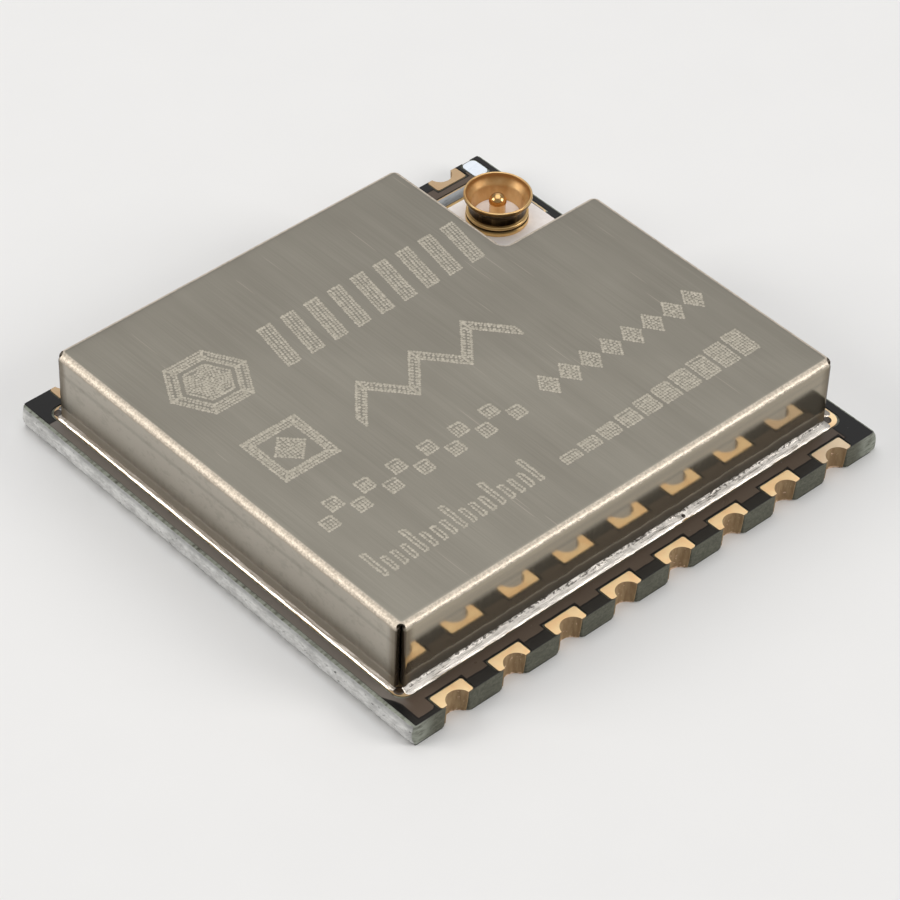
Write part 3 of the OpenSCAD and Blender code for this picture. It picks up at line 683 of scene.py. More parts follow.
@dataclass(frozen=True)
class WornGold:
    """Thick gold on the turned receptacle parts: satin from wear, painted dark as shade round the waist and
    in the groove, and painted bright on the flange as a highlight.
    """

    centre: Flat
    top: float  # height of the lip's top
    lip: float  # the lip's radius
    groove: float  # height of the groove round the flange
    name: str = "worn_gold"
    light: Colour = (0.80, 0.56, 0.27)
    deep: Colour = (0.66, 0.39, 0.155)
    inner: Colour = (0.33, 0.15, 0.035)  # darker orange high up inside the contact
    bright: Colour = (0.93, 0.63, 0.27)  # painted highlight on the flange
    # painted shade and reflection dark round the waist under the lip, and painted shade in the groove
    waist_and_groove_shade: Colour = (0.050, 0.033, 0.016)
    # the lighter streaks of that painted shade on the waist
    waist_shade_light: Colour = (0.16, 0.105, 0.05)
    turning: Grain = Grain(40.0, drawn=(0.1, 0.1, 1.0))
    drawn: Grain = Grain(6.0, 3.0, 0.6, drawn=(1.0, 1.0, 0.06))
    clouds: Grain = Grain(1.6, 3.0)
    depth: float = 0.0006
    rough: float = 0.32
    waist: Flat = (-0.58, -0.08)  # the waist's lower and upper edge, from the lip's top
    waist_soft: tuple[Flat, Flat] = ((-0.03, 0.03), (0.04, -0.04))  # across those two edges
    flange_top: Flat = (0.02, -0.04)  # from the waist's lower edge
    inner_low: Flat = (-0.5, 0.05)  # from the waist's upper edge
    bore: Flat = (0.66, 0.68)  # anything nearer to the axis is inside the contact
    lip_soft: Flat = (-0.04, 0.0)
    groove_reach: Flat = (0.05, 0.03)
    pin: Flat = (0.36, 0.3)  # anything nearer to the axis than this is the pin

    def build(self) -> bpy.types.Material:
        """Builds the material."""
        g = Graph(self.name)
        at = g.place()
        x, y, height = g.axes(at)
        nx, ny, up = g.facing()
        east, north = x - self.centre[0], y - self.centre[1]
        away = g.maths("SQRT", east * east + north * north)
        over_lip = g.step(away, *shifted(self.lip_soft, self.lip))
        outside = g.maths("MAXIMUM", g.step(nx * east + ny * north, -0.02, 0.04), over_lip)
        outside = g.maths("MAXIMUM", outside, g.step(up, 0.6, 0.9)) * g.step(away, *self.bore)
        low, high = shifted(self.waist, self.top)
        soft_low, soft_high = self.waist_soft
        turned = g.noise(at, self.turning)
        drawn = g.noise(at, self.drawn)
        cloud = g.noise(at, self.clouds)
        # painted shade and reflection on the waist under the lip
        dull = outside * g.step(height, *shifted(soft_low, low)) * g.step(height, *shifted(soft_high, high))
        dull = dull * g.step(abs(up), 0.9, 0.6)
        # painted shade in the groove round the flange
        groove = outside * g.step(abs(height - self.groove), *self.groove_reach)
        colour = g.blend(g.step(cloud * 0.7 + drawn * 0.3, 0.34, 0.66), self.light, self.deep)
        # painted highlight on the flange
        flange = outside * g.step(height, *shifted(self.flange_top, low))
        colour = g.blend(flange * 0.7, colour, self.bright)
        # streaked painted shade on the waist
        stained = g.blend(g.step(drawn, 0.42, 0.72), self.waist_and_groove_shade, self.waist_shade_light)
        colour = g.blend(dull, colour, stained)
        colour = g.blend(groove * 0.9, colour, self.waist_and_groove_shade)
        pin = g.step(away, *self.pin)
        matt = (1.0 - pin) * (1.0 - outside)
        # darker orange high up inside the contact
        worn = matt * g.step(height + (cloud - 0.5) * 0.4, *shifted(self.inner_low, high))
        colour = g.blend(worn * 0.9, colour, self.inner)
        rough = self.rough + (turned - 0.5) * 0.1 + (cloud - 0.5) * 0.1 + matt * 0.12 - pin * 0.1
        normal = g.bump(turned, self.depth)
        return g.finish(Base_Color=colour, Metallic=1.0 - matt * 0.5, Roughness=rough, Normal=normal)


@dataclass(frozen=True)
class BrightMetal:
    """Solder or tin: bright, with a crinkled skin and faint flux stains."""

    name: str
    light: Colour = (0.86, 0.85, 0.83)
    stain: Colour = (0.36, 0.325, 0.28)
    crinkle: float = 13.0  # wrinkles for each millimetre
    depth: float = 0.012
    rough: float = 0.22
    stained: float = 0.5  # a lower value stains more
    drawn: Flat = (0.4, 1.0)  # how far wrinkles and stains are drawn out along X and Y
    speckled: float = 0.0  # how strongly burnt specks show
    specks: Grain = Grain(13.0, 3.0, 0.7, drawn=(0.6, 1.0, 1.0))
    specks_from: Flat = (0.80, 0.85)  # the heights where they start
    speck: Colour = (0.035, 0.028, 0.02)

    def build(self) -> bpy.types.Material:
        """Builds the material."""
        g = Graph(self.name)
        at = g.place()
        _, _, height = g.axes(at)
        drawn = g.maths("MULTIPLY", at, (*self.drawn, 1.0))
        wrinkles = g.noise(drawn, Grain(self.crinkle, 3.0, 0.6, 0.6))
        stains = g.noise(drawn, Grain(7.0, 4.0, 0.7))
        colour = g.blend(g.step(stains, *shifted((0.0, 0.2), self.stained)), self.light, self.stain)
        specks = g.step(g.noise(at, self.specks), 0.50, 0.57)
        specks = specks * g.step(height + (stains - 0.5) * 0.2, *self.specks_from)
        colour = g.blend(specks * self.speckled, colour, self.speck)
        rough = self.rough + (wrinkles - 0.5) * 0.14
        return g.finish(Base_Color=colour, Metallic=1.0, Roughness=rough, Normal=g.bump(wrinkles, self.depth))


@dataclass(frozen=True)
class BurntFlux:
    """Flux left beside a joint: a dark brown glaze."""

    name: str = "burnt_flux"
    light: Colour = (0.05, 0.03, 0.016)
    dark: Colour = (0.012, 0.008, 0.006)
    pools: Grain = Grain(7.0, 3.0)
    depth: float = 0.01

    def build(self) -> bpy.types.Material:
        """Builds the material."""
        g = Graph(self.name)
        pool = g.noise(g.place(), self.pools)
        colour = g.blend(g.step(pool, 0.3, 0.7), self.light, self.dark)
        return g.finish(Base_Color=colour, Roughness=0.2 + pool * 0.2, Normal=g.bump(pool, self.depth))


@dataclass(frozen=True)
class Moulding:
    """Moulded plastic or fired ceramic: a body colour with fine mottling."""

    name: str
    light: Colour
    dark: Colour
    rough: float = 0.5
    patches: Grain = Grain(6.0, 3.0, 0.6)
    fine: Grain = Grain(48.0)
    depth: float = 0.0015

    def build(self) -> bpy.types.Material:
        """Builds the material."""
        g = Graph(self.name)
        at = g.place()
        fine = g.noise(at, self.fine)
        colour = g.blend(g.step(g.noise(at, self.patches), 0.3, 0.75), self.light, self.dark)
        rough = self.rough + (fine - 0.5) * 0.12
        return g.finish(Base_Color=colour, Roughness=rough, Normal=g.bump(fine, self.depth))


@dataclass(frozen=True)
class StudioFloor:
    """Pale matt floor with a barely visible grain."""

    name: str = "studio_floor"
    light: Colour = (0.82, 0.82, 0.82)
    dark: Colour = (0.80, 0.80, 0.80)
    grain: Grain = Grain(0.4, 3.0)

    def build(self) -> bpy.types.Material:
        """Builds the material."""
        g = Graph(self.name)
        grain = g.noise(g.place(), self.grain)
        return g.finish(Base_Color=g.blend(grain, self.light, self.dark), Roughness=0.85)


class Finishes:
    """Every material of the module, built once."""

    def __init__(self) -> None:
        """Builds them all."""
        can = Box.of("shield_can")
        self.sheet = BrushedSheet((can.centre.x, can.centre.y), (can.size.x / 2, can.size.y / 2)).build()
        self.mark = EtchedMark().build()
        self.mask = SolderMask().build()
        self.laminate = Laminate().build()
        self.plate = GoldPlate().build()
        base, top = Box.of("receptacle_base"), Box.of("receptacle_shell").high.z
        groove = base.high.z + sum(Receptacle.groove) / 2
        self.gold = WornGold((base.centre.x, base.centre.y), top, Receptacle.lip, groove).build()
        cream, brown = (0.80, 0.755, 0.70), (0.28, 0.245, 0.20)
        self.solder = BrightMetal(
            "solder", cream, brown, rough=0.36, depth=0.014, stained=0.52, drawn=(0.14, 1.8), speckled=0.85
        ).build()
        self.side_solder = BrightMetal(
            "side_solder", (0.76, 0.69, 0.61), brown, rough=0.3, depth=0.010, stained=0.55, drawn=(1.7, 0.12)
        ).build()
        self.dull_solder = BrightMetal(
            "dull_solder", (0.36, 0.37, 0.375), (0.22, 0.22, 0.22), crinkle=6.0, depth=0.006, rough=0.38
        ).build()
        self.flux = BurntFlux().build()
        self.tin = BrightMetal(
            "tinned_land", (0.86, 0.91, 0.97), (0.74, 0.80, 0.88), crinkle=3.0, depth=0.006, rough=0.45
        ).build()
        self.terminal = BrightMetal("matte_tin", (0.75, 0.75, 0.76), depth=0.003, rough=0.4).build()
        self.white = Moulding("white_moulding", (0.95, 0.89, 0.85), (0.90, 0.83, 0.79), 0.45).build()
        self.black = Moulding("black_moulding", (0.05, 0.05, 0.055), (0.03, 0.03, 0.033), 0.6).build()
        self.ceramic = Moulding("fired_ceramic", (0.6, 0.56, 0.48), (0.5, 0.46, 0.4), 0.55).build()
        self.tan = Moulding("tan_ceramic", (0.5, 0.37, 0.24), (0.4, 0.29, 0.19), 0.45).build()
        self.glaze = Moulding("black_glaze", (0.05, 0.05, 0.06), (0.03, 0.03, 0.04), 0.2).build()
        self.blue = Moulding("blue_ceramic", (0.3, 0.45, 0.55), (0.24, 0.37, 0.46), 0.4).build()
        self.floor = StudioFloor().build()


# ---------------------------------------------------------------- meshes


class Shape:
    """A mesh being made, in millimetres, with an optional flat pattern place for each point."""

    MERGE = 1e-5  # points nearer than this become one
    SHORTEST = 1e-6  # of an edge

    def __init__(self) -> None:
        """Starts with nothing."""
        self.points: list[Point] = []
        self.flat: list[Point] = []
        self.faces: list[tuple[int, ...]] = []

    def point(self, at: Sequence[float], flat: Sequence[float] | None = None) -> int:
        """Adds a point.

        Args:
            at: Its place.
            flat: Its place in the flat pattern, or its own place.

        Returns:
            Its number.
        """
        self.points.append((at[0], at[1], at[2]))
        place = flat if flat is not None else at
        self.flat.append((place[0], place[1], 0.0))
        return len(self.points) - 1

    def sheet(self, rows: Sequence[Sequence[int]], closed: bool = False) -> None:
        """Joins rows of points with quads.

        Args:
            rows: Each row's point numbers.
            closed: Whether each row's last point joins its first.
        """
        for low, high in zip(rows, rows[1:]):
            count = len(low)
            for k in range(count if closed else count - 1):
                n = (k + 1) % count
                self.faces.append((low[k], low[n], high[n], high[k]))

    def tube(self, rings: Sequence[Sequence[Sequence[float]]]) -> None:
        """Makes a closed solid through rings of places, with a flat face on both ends.

        Args:
            rings: The rings, each with as many places.
        """
        rows = [[self.point(at) for at in ring] for ring in rings]
        self.sheet(rows, closed=True)
        self.faces.append(tuple(reversed(rows[0])))
        self.faces.append(tuple(rows[-1]))

    def turned(self, profile: Sequence[Flat], centre: Point, steps: int) -> None:
        """Turns a closed outline of (radius, height) about an upright axis.

        Args:
            profile: The outline. Radius 0 points stay on the axis.
            centre: Where the axis stands, and the height that the outline starts from.
            steps: Steps round the axis.
        """
        x, y, z = centre
        rows = []
        for k in range(steps):
            angle = 2 * math.pi * k / steps
            cos, sin = math.cos(angle), math.sin(angle)
            rows.append([self.point((x + r * cos, y + r * sin, z + h)) for r, h in profile])
        self.sheet([*rows, rows[0]], closed=True)

    def build(self, name: str, material: bpy.types.Material, sharp: float = 35.0) -> bpy.types.Object:
        """Makes the object: doubles merged, faces outwards, smooth but for its sharp edges.

        Args:
            name: The piece's name.
            material: Its material.
            sharp: Edges that turn by more than this many degrees stay sharp.

        Returns:
            The object, at the origin.
        """
        mesh = bpy.data.meshes.new(name)
        mesh.from_pydata([tuple(c * MM for c in p) for p in self.points], [], self.faces)
        layer = mesh.attributes.new("flat", "FLOAT_VECTOR", "POINT")
        layer.data.foreach_set("vector", [c for p in self.flat for c in p])
        work = bmesh.new()
        work.from_mesh(mesh)
        bmesh.ops.remove_doubles(work, verts=work.verts, dist=self.MERGE * MM)
        bmesh.ops.dissolve_degenerate(work, edges=work.edges, dist=self.SHORTEST * MM)
        bmesh.ops.recalc_face_normals(work, faces=work.faces)
        work.to_mesh(mesh)
        work.free()
        mesh.materials.append(material)
        smooth(mesh, sharp)
        return added(name, mesh)


def added(name: str, data: bpy.types.ID) -> bpy.types.Object:
    """Adds an object to the scene.

    Args:
        name: Its name.
        data: Its mesh, light or camera.

    Returns:
        The object.
    """
    made = bpy.data.objects.new(name, data)
    bpy.context.scene.collection.objects.link(made)
    return made


def smooth(mesh: bpy.types.Mesh, sharp: float) -> None:
    """Shades a mesh smooth, apart from the edges that turn by more than an angle in degrees."""
    mesh.shade_smooth()
    mesh.set_sharp_from_angle(angle=math.radians(sharp))


def applied(piece: bpy.types.Object) -> None:
    """Turns what a piece's modifiers make into its plain mesh, and removes them.

    Args:
        piece: The piece.
    """
    graph = bpy.context.evaluated_depsgraph_get()
    mesh = bpy.data.meshes.new_from_object(piece.evaluated_get(graph))
    mesh.name = piece.name
    piece.modifiers.clear()
    piece.data = mesh


def seat(piece: bpy.types.Object, slot: str, *nodes: str) -> None:
    """Fixes a piece to the module's body and hides the nodes it stands for.

    Args:
        piece: The piece.
        slot: The record's material slot. It is not used.
        nodes: The CAD nodes that it replaces.
    """
    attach(piece, BODY)
    if nodes:
        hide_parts(*nodes)
    LOG.info("%s: %d faces for %s", piece.name, len(piece.data.polygons), ", ".join(nodes) or "itself")


def dress(material: bpy.types.Material, *names: str) -> None:
    """Gives CAD nodes a material.

    Args:
        material: The material.
        names: The nodes.
    """
    for name in names:
        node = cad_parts[name]
        node.data.materials.clear()
        node.data.materials.append(material)
        LOG.info("%s: %s", name, material.name)


@dataclass(frozen=True)
class Box:
    """A CAD node's box in millimetres."""

    low: Vector
    high: Vector

    @classmethod
    def of(cls, node: str) -> Box:
        """The box of a node."""
        low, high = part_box(node)
        return cls(low / MM, high / MM)

    @property
    def centre(self) -> Vector:
        """The box's middle."""
        return (self.low + self.high) / 2

    @property
    def size(self) -> Vector:
        """The box's size."""
        return self.high - self.low


@dataclass(frozen=True)
class Rib:
    """A place on an outline and the direction that faces out of it."""

    at: Flat
    out: Flat

    def moved(self, by: float) -> Flat:
        """The place that lies a distance out of the outline."""
        return (self.at[0] + self.out[0] * by, self.at[1] + self.out[1] * by)


def between(start: float, end: float, steps: int) -> list[float]:
    """Evenly spaced values, both ends included."""
    return [start + (end - start) * k / steps for k in range(steps + 1)]


def arc(centre: Flat, radius: float, start: float, end: float, steps: int) -> list[Flat]:
    """Points along an arc, both ends included.

    Args:
        centre: Its centre.
        radius: Its radius.
        start: The first angle in degrees.
        end: The last angle in degrees.
        steps: Steps between them.

    Returns:
        The points.
    """
    angles = [math.radians(angle) for angle in between(start, end, steps)]
    return [(centre[0] + radius * math.cos(a), centre[1] + radius * math.sin(a)) for a in angles]


def wobble(x: float, y: float, z: float, scale: float) -> float:
    """A smooth value from about -1 to 1 that changes over 1 / scale millimetres."""
    return noise.noise(Vector((x, y, z)) * scale)


# ---------------------------------------------------------------- shield can


class Corners(Enum):
    """Which ends of a flap turn an outside corner."""

    BOTH = "both"
    FIRST = "first"
    LAST = "last"


@dataclass
class ShieldCan:
    """The drawn can: a flat top, flaps bent down round it, and rounded corners split by narrow slits."""

    finishes: Finishes
    sheet: float = 0.2
    bend: float = 0.26
    slit: float = 0.085  # half the width of a corner's slit, below its relief
    taper: float = 0.045  # how much wider each side of the slit is at its foot
    relief: float = 0.115
    relief_run: float = 0.25  # distance down the sheet to the relief's centre
    inside_corner: float = 0.2
    swell: float = 0.004  # how far the walls stray
    swell_scale: float = 0.5
    bend_steps: int = 16
    wall_steps: int = 6
    corner_steps: int = 6
    inside_steps: int = 10
    column: float = 0.25  # length of one column of a flap
    sharp: float = 40.0
    box: Box = field(default_factory=lambda: Box.of("shield_can"))

    def __post_init__(self) -> None:
        """Reads the notch off the CAD can: its walls are the last faces beside the receptacle."""
        post = Box.of("receptacle_pin").centre
        corners = [v.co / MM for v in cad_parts["shield_can"].data.vertices]
        self.notch_x = max(v.x for v in corners if v.y > post.y)
        self.notch_y = max(v.y for v in corners if v.x > post.x)

    def half_gap(self, run: float) -> float:
        """Works out how wide a corner's slit is, where its round relief narrows into it.

        Args:
            run: Distance down the sheet from the bend line.

        Returns:
            Half the slit's width.
        """
        past = run - self.relief_run
        if past < -self.relief:
            return 0.0
        hole = math.sqrt(max(0.0, self.relief**2 - past**2))
        if past < 0:
            return hole
        return max(hole, self.slit + self.taper * past / self.box.size.z)

    def section(self) -> list[tuple[float, float, float]]:
        """The flap's section from its bend line: (reach outwards, drop, distance along the sheet)."""
        rows = []
        for angle in between(0, math.pi / 2, self.bend_steps):
            reach, drop = self.bend * math.sin(angle), self.bend * (1 - math.cos(angle))
            rows.append((reach, drop, self.bend * angle))
        bent = self.bend * math.pi / 2
        for share in between(0, 1, self.wall_steps)[1:]:
            drop = self.bend + (self.box.size.z - self.bend) * share
            rows.append((self.bend, drop, bent + drop - self.bend))
        return rows

    def corner(self, centre: Flat, first: float, last: float, reach: float, gap: float) -> list[Rib]:
        """Half of a rounded corner, held back from the slit at its first or last angle.

        Args:
            centre: Where the two bend lines cross.
            first: The first direction in degrees.
            last: The last direction in degrees. The slit is at whichever is an odd eighth of a turn.
            reach: The corner's radius.
            gap: Half the slit's width.

        Returns:
            The ribs.
        """
        held = math.degrees(math.asin(min(0.95, gap / reach))) if reach > 0 else 0.0
        if first % 90:
            first += held
        else:
            last -= held
        ribs = []
        for angle in between(math.radians(first), math.radians(last), self.corner_steps):
            out = (math.cos(angle), math.sin(angle))
            ribs.append(Rib(Rib(centre, out).moved(reach), out))
        return ribs

    def side(
        self,
        start: Flat,
        end: Flat,
        turn: float,
        reach: float,
        gap: float,
        corners: Corners = Corners.BOTH,
    ) -> list[Rib]:
        """One flap's ribs at one reach: half a corner, the straight stretch, and half a corner.

        Args:
            start: The bend line's start.
            end: Its end.
            turn: The outward direction in degrees.
            reach: How far out of the bend line.
            gap: Half the slit's width.
            corners: Which ends turn a corner.

        Returns:
            The ribs.
        """
        out = (math.cos(math.radians(turn)), math.sin(math.radians(turn)))
        line = Vector(end) - Vector(start)
        steps = max(2, round(line.length / self.column))
        places = [Vector(start) + line * share for share in between(0, 1, steps)]
        ribs = [Rib(Rib((at.x, at.y), out).moved(reach), out) for at in places]
        if corners is not Corners.LAST:
            ribs = self.corner(start, turn - 45, turn, reach, gap)[:-1] + ribs
        if corners is not Corners.FIRST:
            ribs = ribs + self.corner(end, turn, turn + 45, reach, gap)[1:]
        return ribs

    def notch(self, reach: float, gap: float) -> list[Rib]:
        """The ribs of the flap that runs round the notch, whose inside corner is turned without a slit.

        Args:
            reach: How far out of the bend lines.
            gap: Half the slit's width.

        Returns:
            The ribs.
        """
        x, y = self.notch_x - self.bend, self.notch_y - self.bend
        right, back = self.box.high.x - self.bend, self.box.high.y - self.bend
        round_corner = self.bend + self.inside_corner
        centre = (x + round_corner, y + round_corner)
        turn = []
        for angle in between(math.radians(270), math.radians(180), self.inside_steps)[1:-1]:
            away = (math.cos(angle), math.sin(angle))
            turn.append(Rib(Rib(centre, away).moved(round_corner - reach), (-away[0], -away[1])))
        return (
            self.side((right, y), (centre[0], y), 90, reach, gap, Corners.FIRST)
            + turn
            + self.side((x, centre[1]), (x, back), 0, reach, gap, Corners.LAST)
        )

    def flaps(self, reach: float, gap: float) -> list[list[Rib]]:
        """Every flap's ribs at one distance down, anticlockwise from the front.

        Args:
            reach: How far out of the bend lines.
            gap: Half the slit's width.

        Returns:
            One list for each flap.
        """
        left, front = self.box.low.x + self.bend, self.box.low.y + self.bend
        right, back = self.box.high.x - self.bend, self.box.high.y - self.bend
        notch_x, notch_y = self.notch_x - self.bend, self.notch_y - self.bend
        return [
            self.side((left, front), (right, front), 270, reach, gap),
            self.side((right, front), (right, notch_y), 0, reach, gap),
            self.notch(reach, gap),
            self.side((notch_x, back), (left, back), 90, reach, gap),
            self.side((left, back), (left, front), 180, reach, gap),
        ]

    def build(self) -> None:
        """Builds the can as one sheet, then gives it its thickness."""
        shape = Shape()
        rows: list[list[list[int]]] = [[] for _ in self.flaps(0.0, 0.0)]
        for reach, drop, run in self.section():
            for k, ribs in enumerate(self.flaps(reach, self.half_gap(run))):
                row = []
                for rib in ribs:
                    swell = self.swell * wobble(*rib.at, drop, self.swell_scale) * min(1.0, drop)
                    place = (*rib.moved(swell), self.box.high.z - drop)
                    row.append(shape.point(place, rib.moved(run - reach)))
                rows[k].append(row)
        for flap in rows:
            shape.sheet(flap)
        shape.faces.append(tuple(i for flap in rows for i in flap[0]))
        can = shape.build("shield_can_sheet", self.finishes.sheet, self.sharp)
        thicken = can.modifiers.new("sheet", "SOLIDIFY")
        thicken.thickness = self.sheet * MM
        thicken.offset = -1
        thicken.use_even_offset = True
        applied(can)
        smooth(can.data, self.sharp)
        seat(can, "nickel_silver", "shield_can")

    def foot(self) -> list[list[Rib]]:
        """Every flap's ribs where it meets the board."""
        return self.flaps(self.bend, self.slit + self.taper)


# ---------------------------------------------------------------- etched pattern


class Fill(Enum):
    """How the inside of an etched shape is hatched."""

    STRAIGHT = "straight hatch"
    WAVY = "wavy hatch"


@dataclass(frozen=True)
class Figure:
    """One etched figure: a closed outline and how it is filled."""

    outline: tuple[Flat, ...]
    fill: Fill = Fill.STRAIGHT

    def moved(self, x: float, y: float) -> Figure:
        """The same figure in another place."""
        return Figure(tuple((at[0] + x, at[1] + y) for at in self.outline), self.fill)


@dataclass
class EtchedPattern:
    """A generic pattern of bars, diamonds and ticks, burnt into the can's top as rows of beads."""

    finishes: Finishes
    can: ShieldCan
    bead: float = 0.049  # radius
    bead_sides: int = 7
    height: float = 0.007
    pitch: float = 0.086  # from bead to bead along a line
    stray: float = 0.1  # how far a bead strays from its place, as a share of the pitch
    smallest: float = 0.78  # scale of the smallest bead
    largest: float = 1.12
    hatch: float = 0.094  # from line to line
    shortest: float = 2.2  # length under which a hatch line is left out, as a share of the hatch
    wave: float = 0.06  # height of a wavy hatch's waves
    waves: float = 9.0  # radians of a wave for each millimetre
    stride: float = 0.1  # from point to point along a hatch line
    stroke: float = 0.34
    rows: tuple[float, ...] = (9.3, 6.0, 3.85, 1.7)  # where each row stands, from the can's front edge
    seed: int = 7

    def bar(self, low: Flat, high: Flat, lean: float = 0.0) -> Figure:
        """A bar between two corners whose top leans along X."""
        top = [(high[0] + lean, high[1]), (low[0] + lean, high[1])]
        return Figure((low, (high[0], low[1]), *top))

    def ring(self, centre: Flat, radius: float, sides: int, turn: float) -> list[Figure]:
        """A regular frame of the stroke's width, as one figure for each side."""
        outer, inner = (arc(centre, r, turn, turn + 360, sides) for r in (radius, radius - self.stroke))
        return [Figure((outer[k], outer[k + 1], inner[k + 1], inner[k])) for k in range(sides)]

    def diamond(self, centre: Flat, wide: float, high: float) -> Figure:
        """A diamond about a centre."""
        x, y = centre
        return Figure(((x - wide, y), (x, y - high), (x + wide, y), (x, y + high)))

    def zigzag(self, start: Flat, step: float, rise: float, count: int) -> list[Figure]:
        """A band of the stroke's width that goes up and down.

        Args:
            start: Where its lower edge starts.
            step: Length of one slope along X.
            rise: How far a slope climbs.
            count: How many slopes it has.

        Returns:
            One figure for each slope.
        """
        figures = []
        thick = self.stroke * 1.15
        for k in range(count):
            x = start[0] + k * step
            y0, y1 = (start[1], start[1] + rise) if k % 2 == 0 else (start[1] + rise, start[1])
            figures.append(Figure(((x, y0), (x + step, y1), (x + step, y1 + thick), (x, y0 + thick))))
        return figures

    def hexagon_row(self) -> list[Figure]:
        """A hexagon with a wavy fill, then leaning bars up to the notch."""
        middle, radius, core = (2.35, 1.0), 1.28, 0.72
        made = self.ring(middle, radius, 6, 0)
        made.append(Figure(tuple(arc(middle, core, 0, 300, 5)), Fill.WAVY))
        first, pitch, wide, low, high, lean = 4.4, 0.84, 0.42, 0.1, 1.75, 0.3
        for x in (first + k * pitch for k in range(9)):
            made.append(self.bar((x, low), (x + wide, high), lean))
        return made

    def zigzag_row(self) -> list[Figure]:
        """A square frame round a diamond, then a zigzag band."""
        middle, radius, core = (2.3, 0.9), 1.3, 0.5
        band = self.zigzag((4.4, 0.25), step=0.95, rise=1.1, count=6)
        return [*self.ring(middle, radius, 4, 45), self.diamond(middle, core, core), *band]

    def square_row(self) -> list[Figure]:
        """Small squares in two alternating lines, then diamonds."""
        made = []
        first, pitch, wide, high, raised = 1.0, 0.55, 0.4, 0.42, 0.5
        for k in range(13):
            x, low = first + k * pitch, raised if k % 2 else 0.0
            made.append(self.bar((x, low), (x + wide, low + high)))
        first, pitch, wide, middle = 9.2, 0.78, 0.3, 0.46
        return made + [self.diamond((first + k * pitch, middle), wide, high) for k in range(8)]

    def tick_row(self) -> list[Figure]:
        """A scale of ticks with every fourth one tall, then bars that grow."""
        made = []
        first, pitch, wide, tall, high = 1.0, 0.34, 0.13, 0.95, 0.55
        for k in range(17):
            x = first + k * pitch
            made.append(self.bar((x, 0.0), (x + wide, high if k % 4 else tall)))
        first, pitch, wide, high, growth = 7.4, 0.74, 0.55, 0.3, 0.07
        for k in range(10):
            x = first + k * pitch
            made.append(self.bar((x, 0.0), (x + wide, high + growth * k)))
        return made

    def figures(self) -> list[Figure]:
        """The whole pattern, in four rows that keep to the can's left and front edges."""
        left, front = self.can.box.low.x, self.can.box.low.y
        drawn = (self.hexagon_row(), self.zigzag_row(), self.square_row(), self.tick_row())
        return [figure.moved(left, front + at) for at, row in zip(self.rows, drawn) for figure in row]

    def hatched(self, outline: Sequence[Vector], y: float, wave: float) -> list[list[Flat]]:
        """The stretches of one hatch line that lie inside an outline.

        Args:
            outline: The outline.
            y: Where the line runs.
            wave: Height of its waves.

        Returns:
            Open lines of places.
        """
        cuts = []
        for a, b in zip(outline, [*outline[1:], outline[0]]):
            if (a.y > y) != (b.y > y):
                cuts.append(a.x + (b.x - a.x) * (y - a.y) / (b.y - a.y))
        cuts.sort()
        drawn = []
        for start, end in zip(cuts[::2], cuts[1::2]):
            if end - start > self.shortest * self.hatch:
                steps = max(1, round((end - start) / self.stride))
                places = between(start + self.hatch, end - self.hatch, steps)
                drawn.append([(x, y + wave * math.sin(x * self.waves)) for x in places])
        return drawn

    def lines(self, figure: Figure) -> list[list[Flat]]:
        """The lines that the laser draws for a figure: its outline, then its hatch.

        Args:
            figure: The figure.

        Returns:
            Open lines of places.
        """
        outline = [Vector(place) for place in figure.outline]
        drawn = [[tuple(place) for place in [*outline, outline[0]]]]
        wave = self.wave if figure.fill is Fill.WAVY else 0.0
        y = min(place.y for place in outline) + self.hatch
        high = max(place.y for place in outline) - self.hatch * 0.5
        while y < high:
            drawn += self.hatched(outline, y, wave)
            y += self.hatch
        return drawn

    def tree(self) -> Repeats:
        """Geometry Nodes that set a bead at every step along the lines."""
        inputs = {
            "Lines": "Geometry",
            "Pitch": "Float",
            "Bead radius": "Float",
            "Bead height": "Float",
            "Seed": "Int",
            "Mark": "Material",
        }
        t = Repeats("etched_beads", inputs, "Beads")
        radius, seed = t.given("Bead radius"), t.given("Seed")
        curve = t.node("GeometryNodeMeshToCurve", {}, {"Mesh": t.given("Lines")})
        lengths = {"Curve": curve, "Length": t.given("Pitch")}
        steps = t.node("GeometryNodeResampleCurve", {"mode": "LENGTH"}, lengths)
        cone = {"Vertices": self.bead_sides, "Radius Bottom": radius, "Radius Top": radius * 0.5}
        bead = t.node("GeometryNodeMeshCone", {}, {**cone, "Depth": t.given("Bead height")})
        # a Random Value node's sockets 0 and 1 bound a vector, and its sockets 2 and 3 a number
        stray = self.stray * self.pitch * MM
        bounds = {0: (-stray, -stray, 0.0), 1: (stray, stray, 0.0), "Seed": seed}
        shift = t.node("FunctionNodeRandomValue", {"data_type": "FLOAT_VECTOR"}, bounds)
        grow = t.node("FunctionNodeRandomValue", {}, {2: self.smallest, 3: self.largest, "Seed": seed}, 1)
        moved = t.node("GeometryNodeSetPosition", {}, {"Geometry": steps, "Offset": shift})
        scattered = {"Points": moved, "Instance": bead, "Scale": grow}
        t.finish(t.node("GeometryNodeInstanceOnPoints", {}, scattered), t.given("Mark"))
        return t

    def build(self) -> None:
        """Draws the lines as edges, and lets the tree set the beads on them."""
        top = self.can.box.high.z
        points: list[Point] = []
        edges: list[tuple[int, int]] = []
        for figure in self.figures():
            for line in self.lines(figure):
                first = len(points)
                points += [(x * MM, y * MM, top * MM) for x, y in line]
                edges += [(first + k, first + k + 1) for k in range(len(line) - 1)]
        mesh = bpy.data.meshes.new("etched_pattern")
        mesh.from_pydata(points, edges, [])
        piece = added("etched_pattern", mesh)
        values = {
            "Pitch": self.pitch * MM,
            "Bead radius": self.bead * MM,
            "Bead height": self.height * MM,
            "Seed": self.seed,
            "Mark": self.finishes.mark,
        }
        self.tree().apply(piece, values)
        seat(piece, "nickel_silver")


# ---------------------------------------------------------------- solder


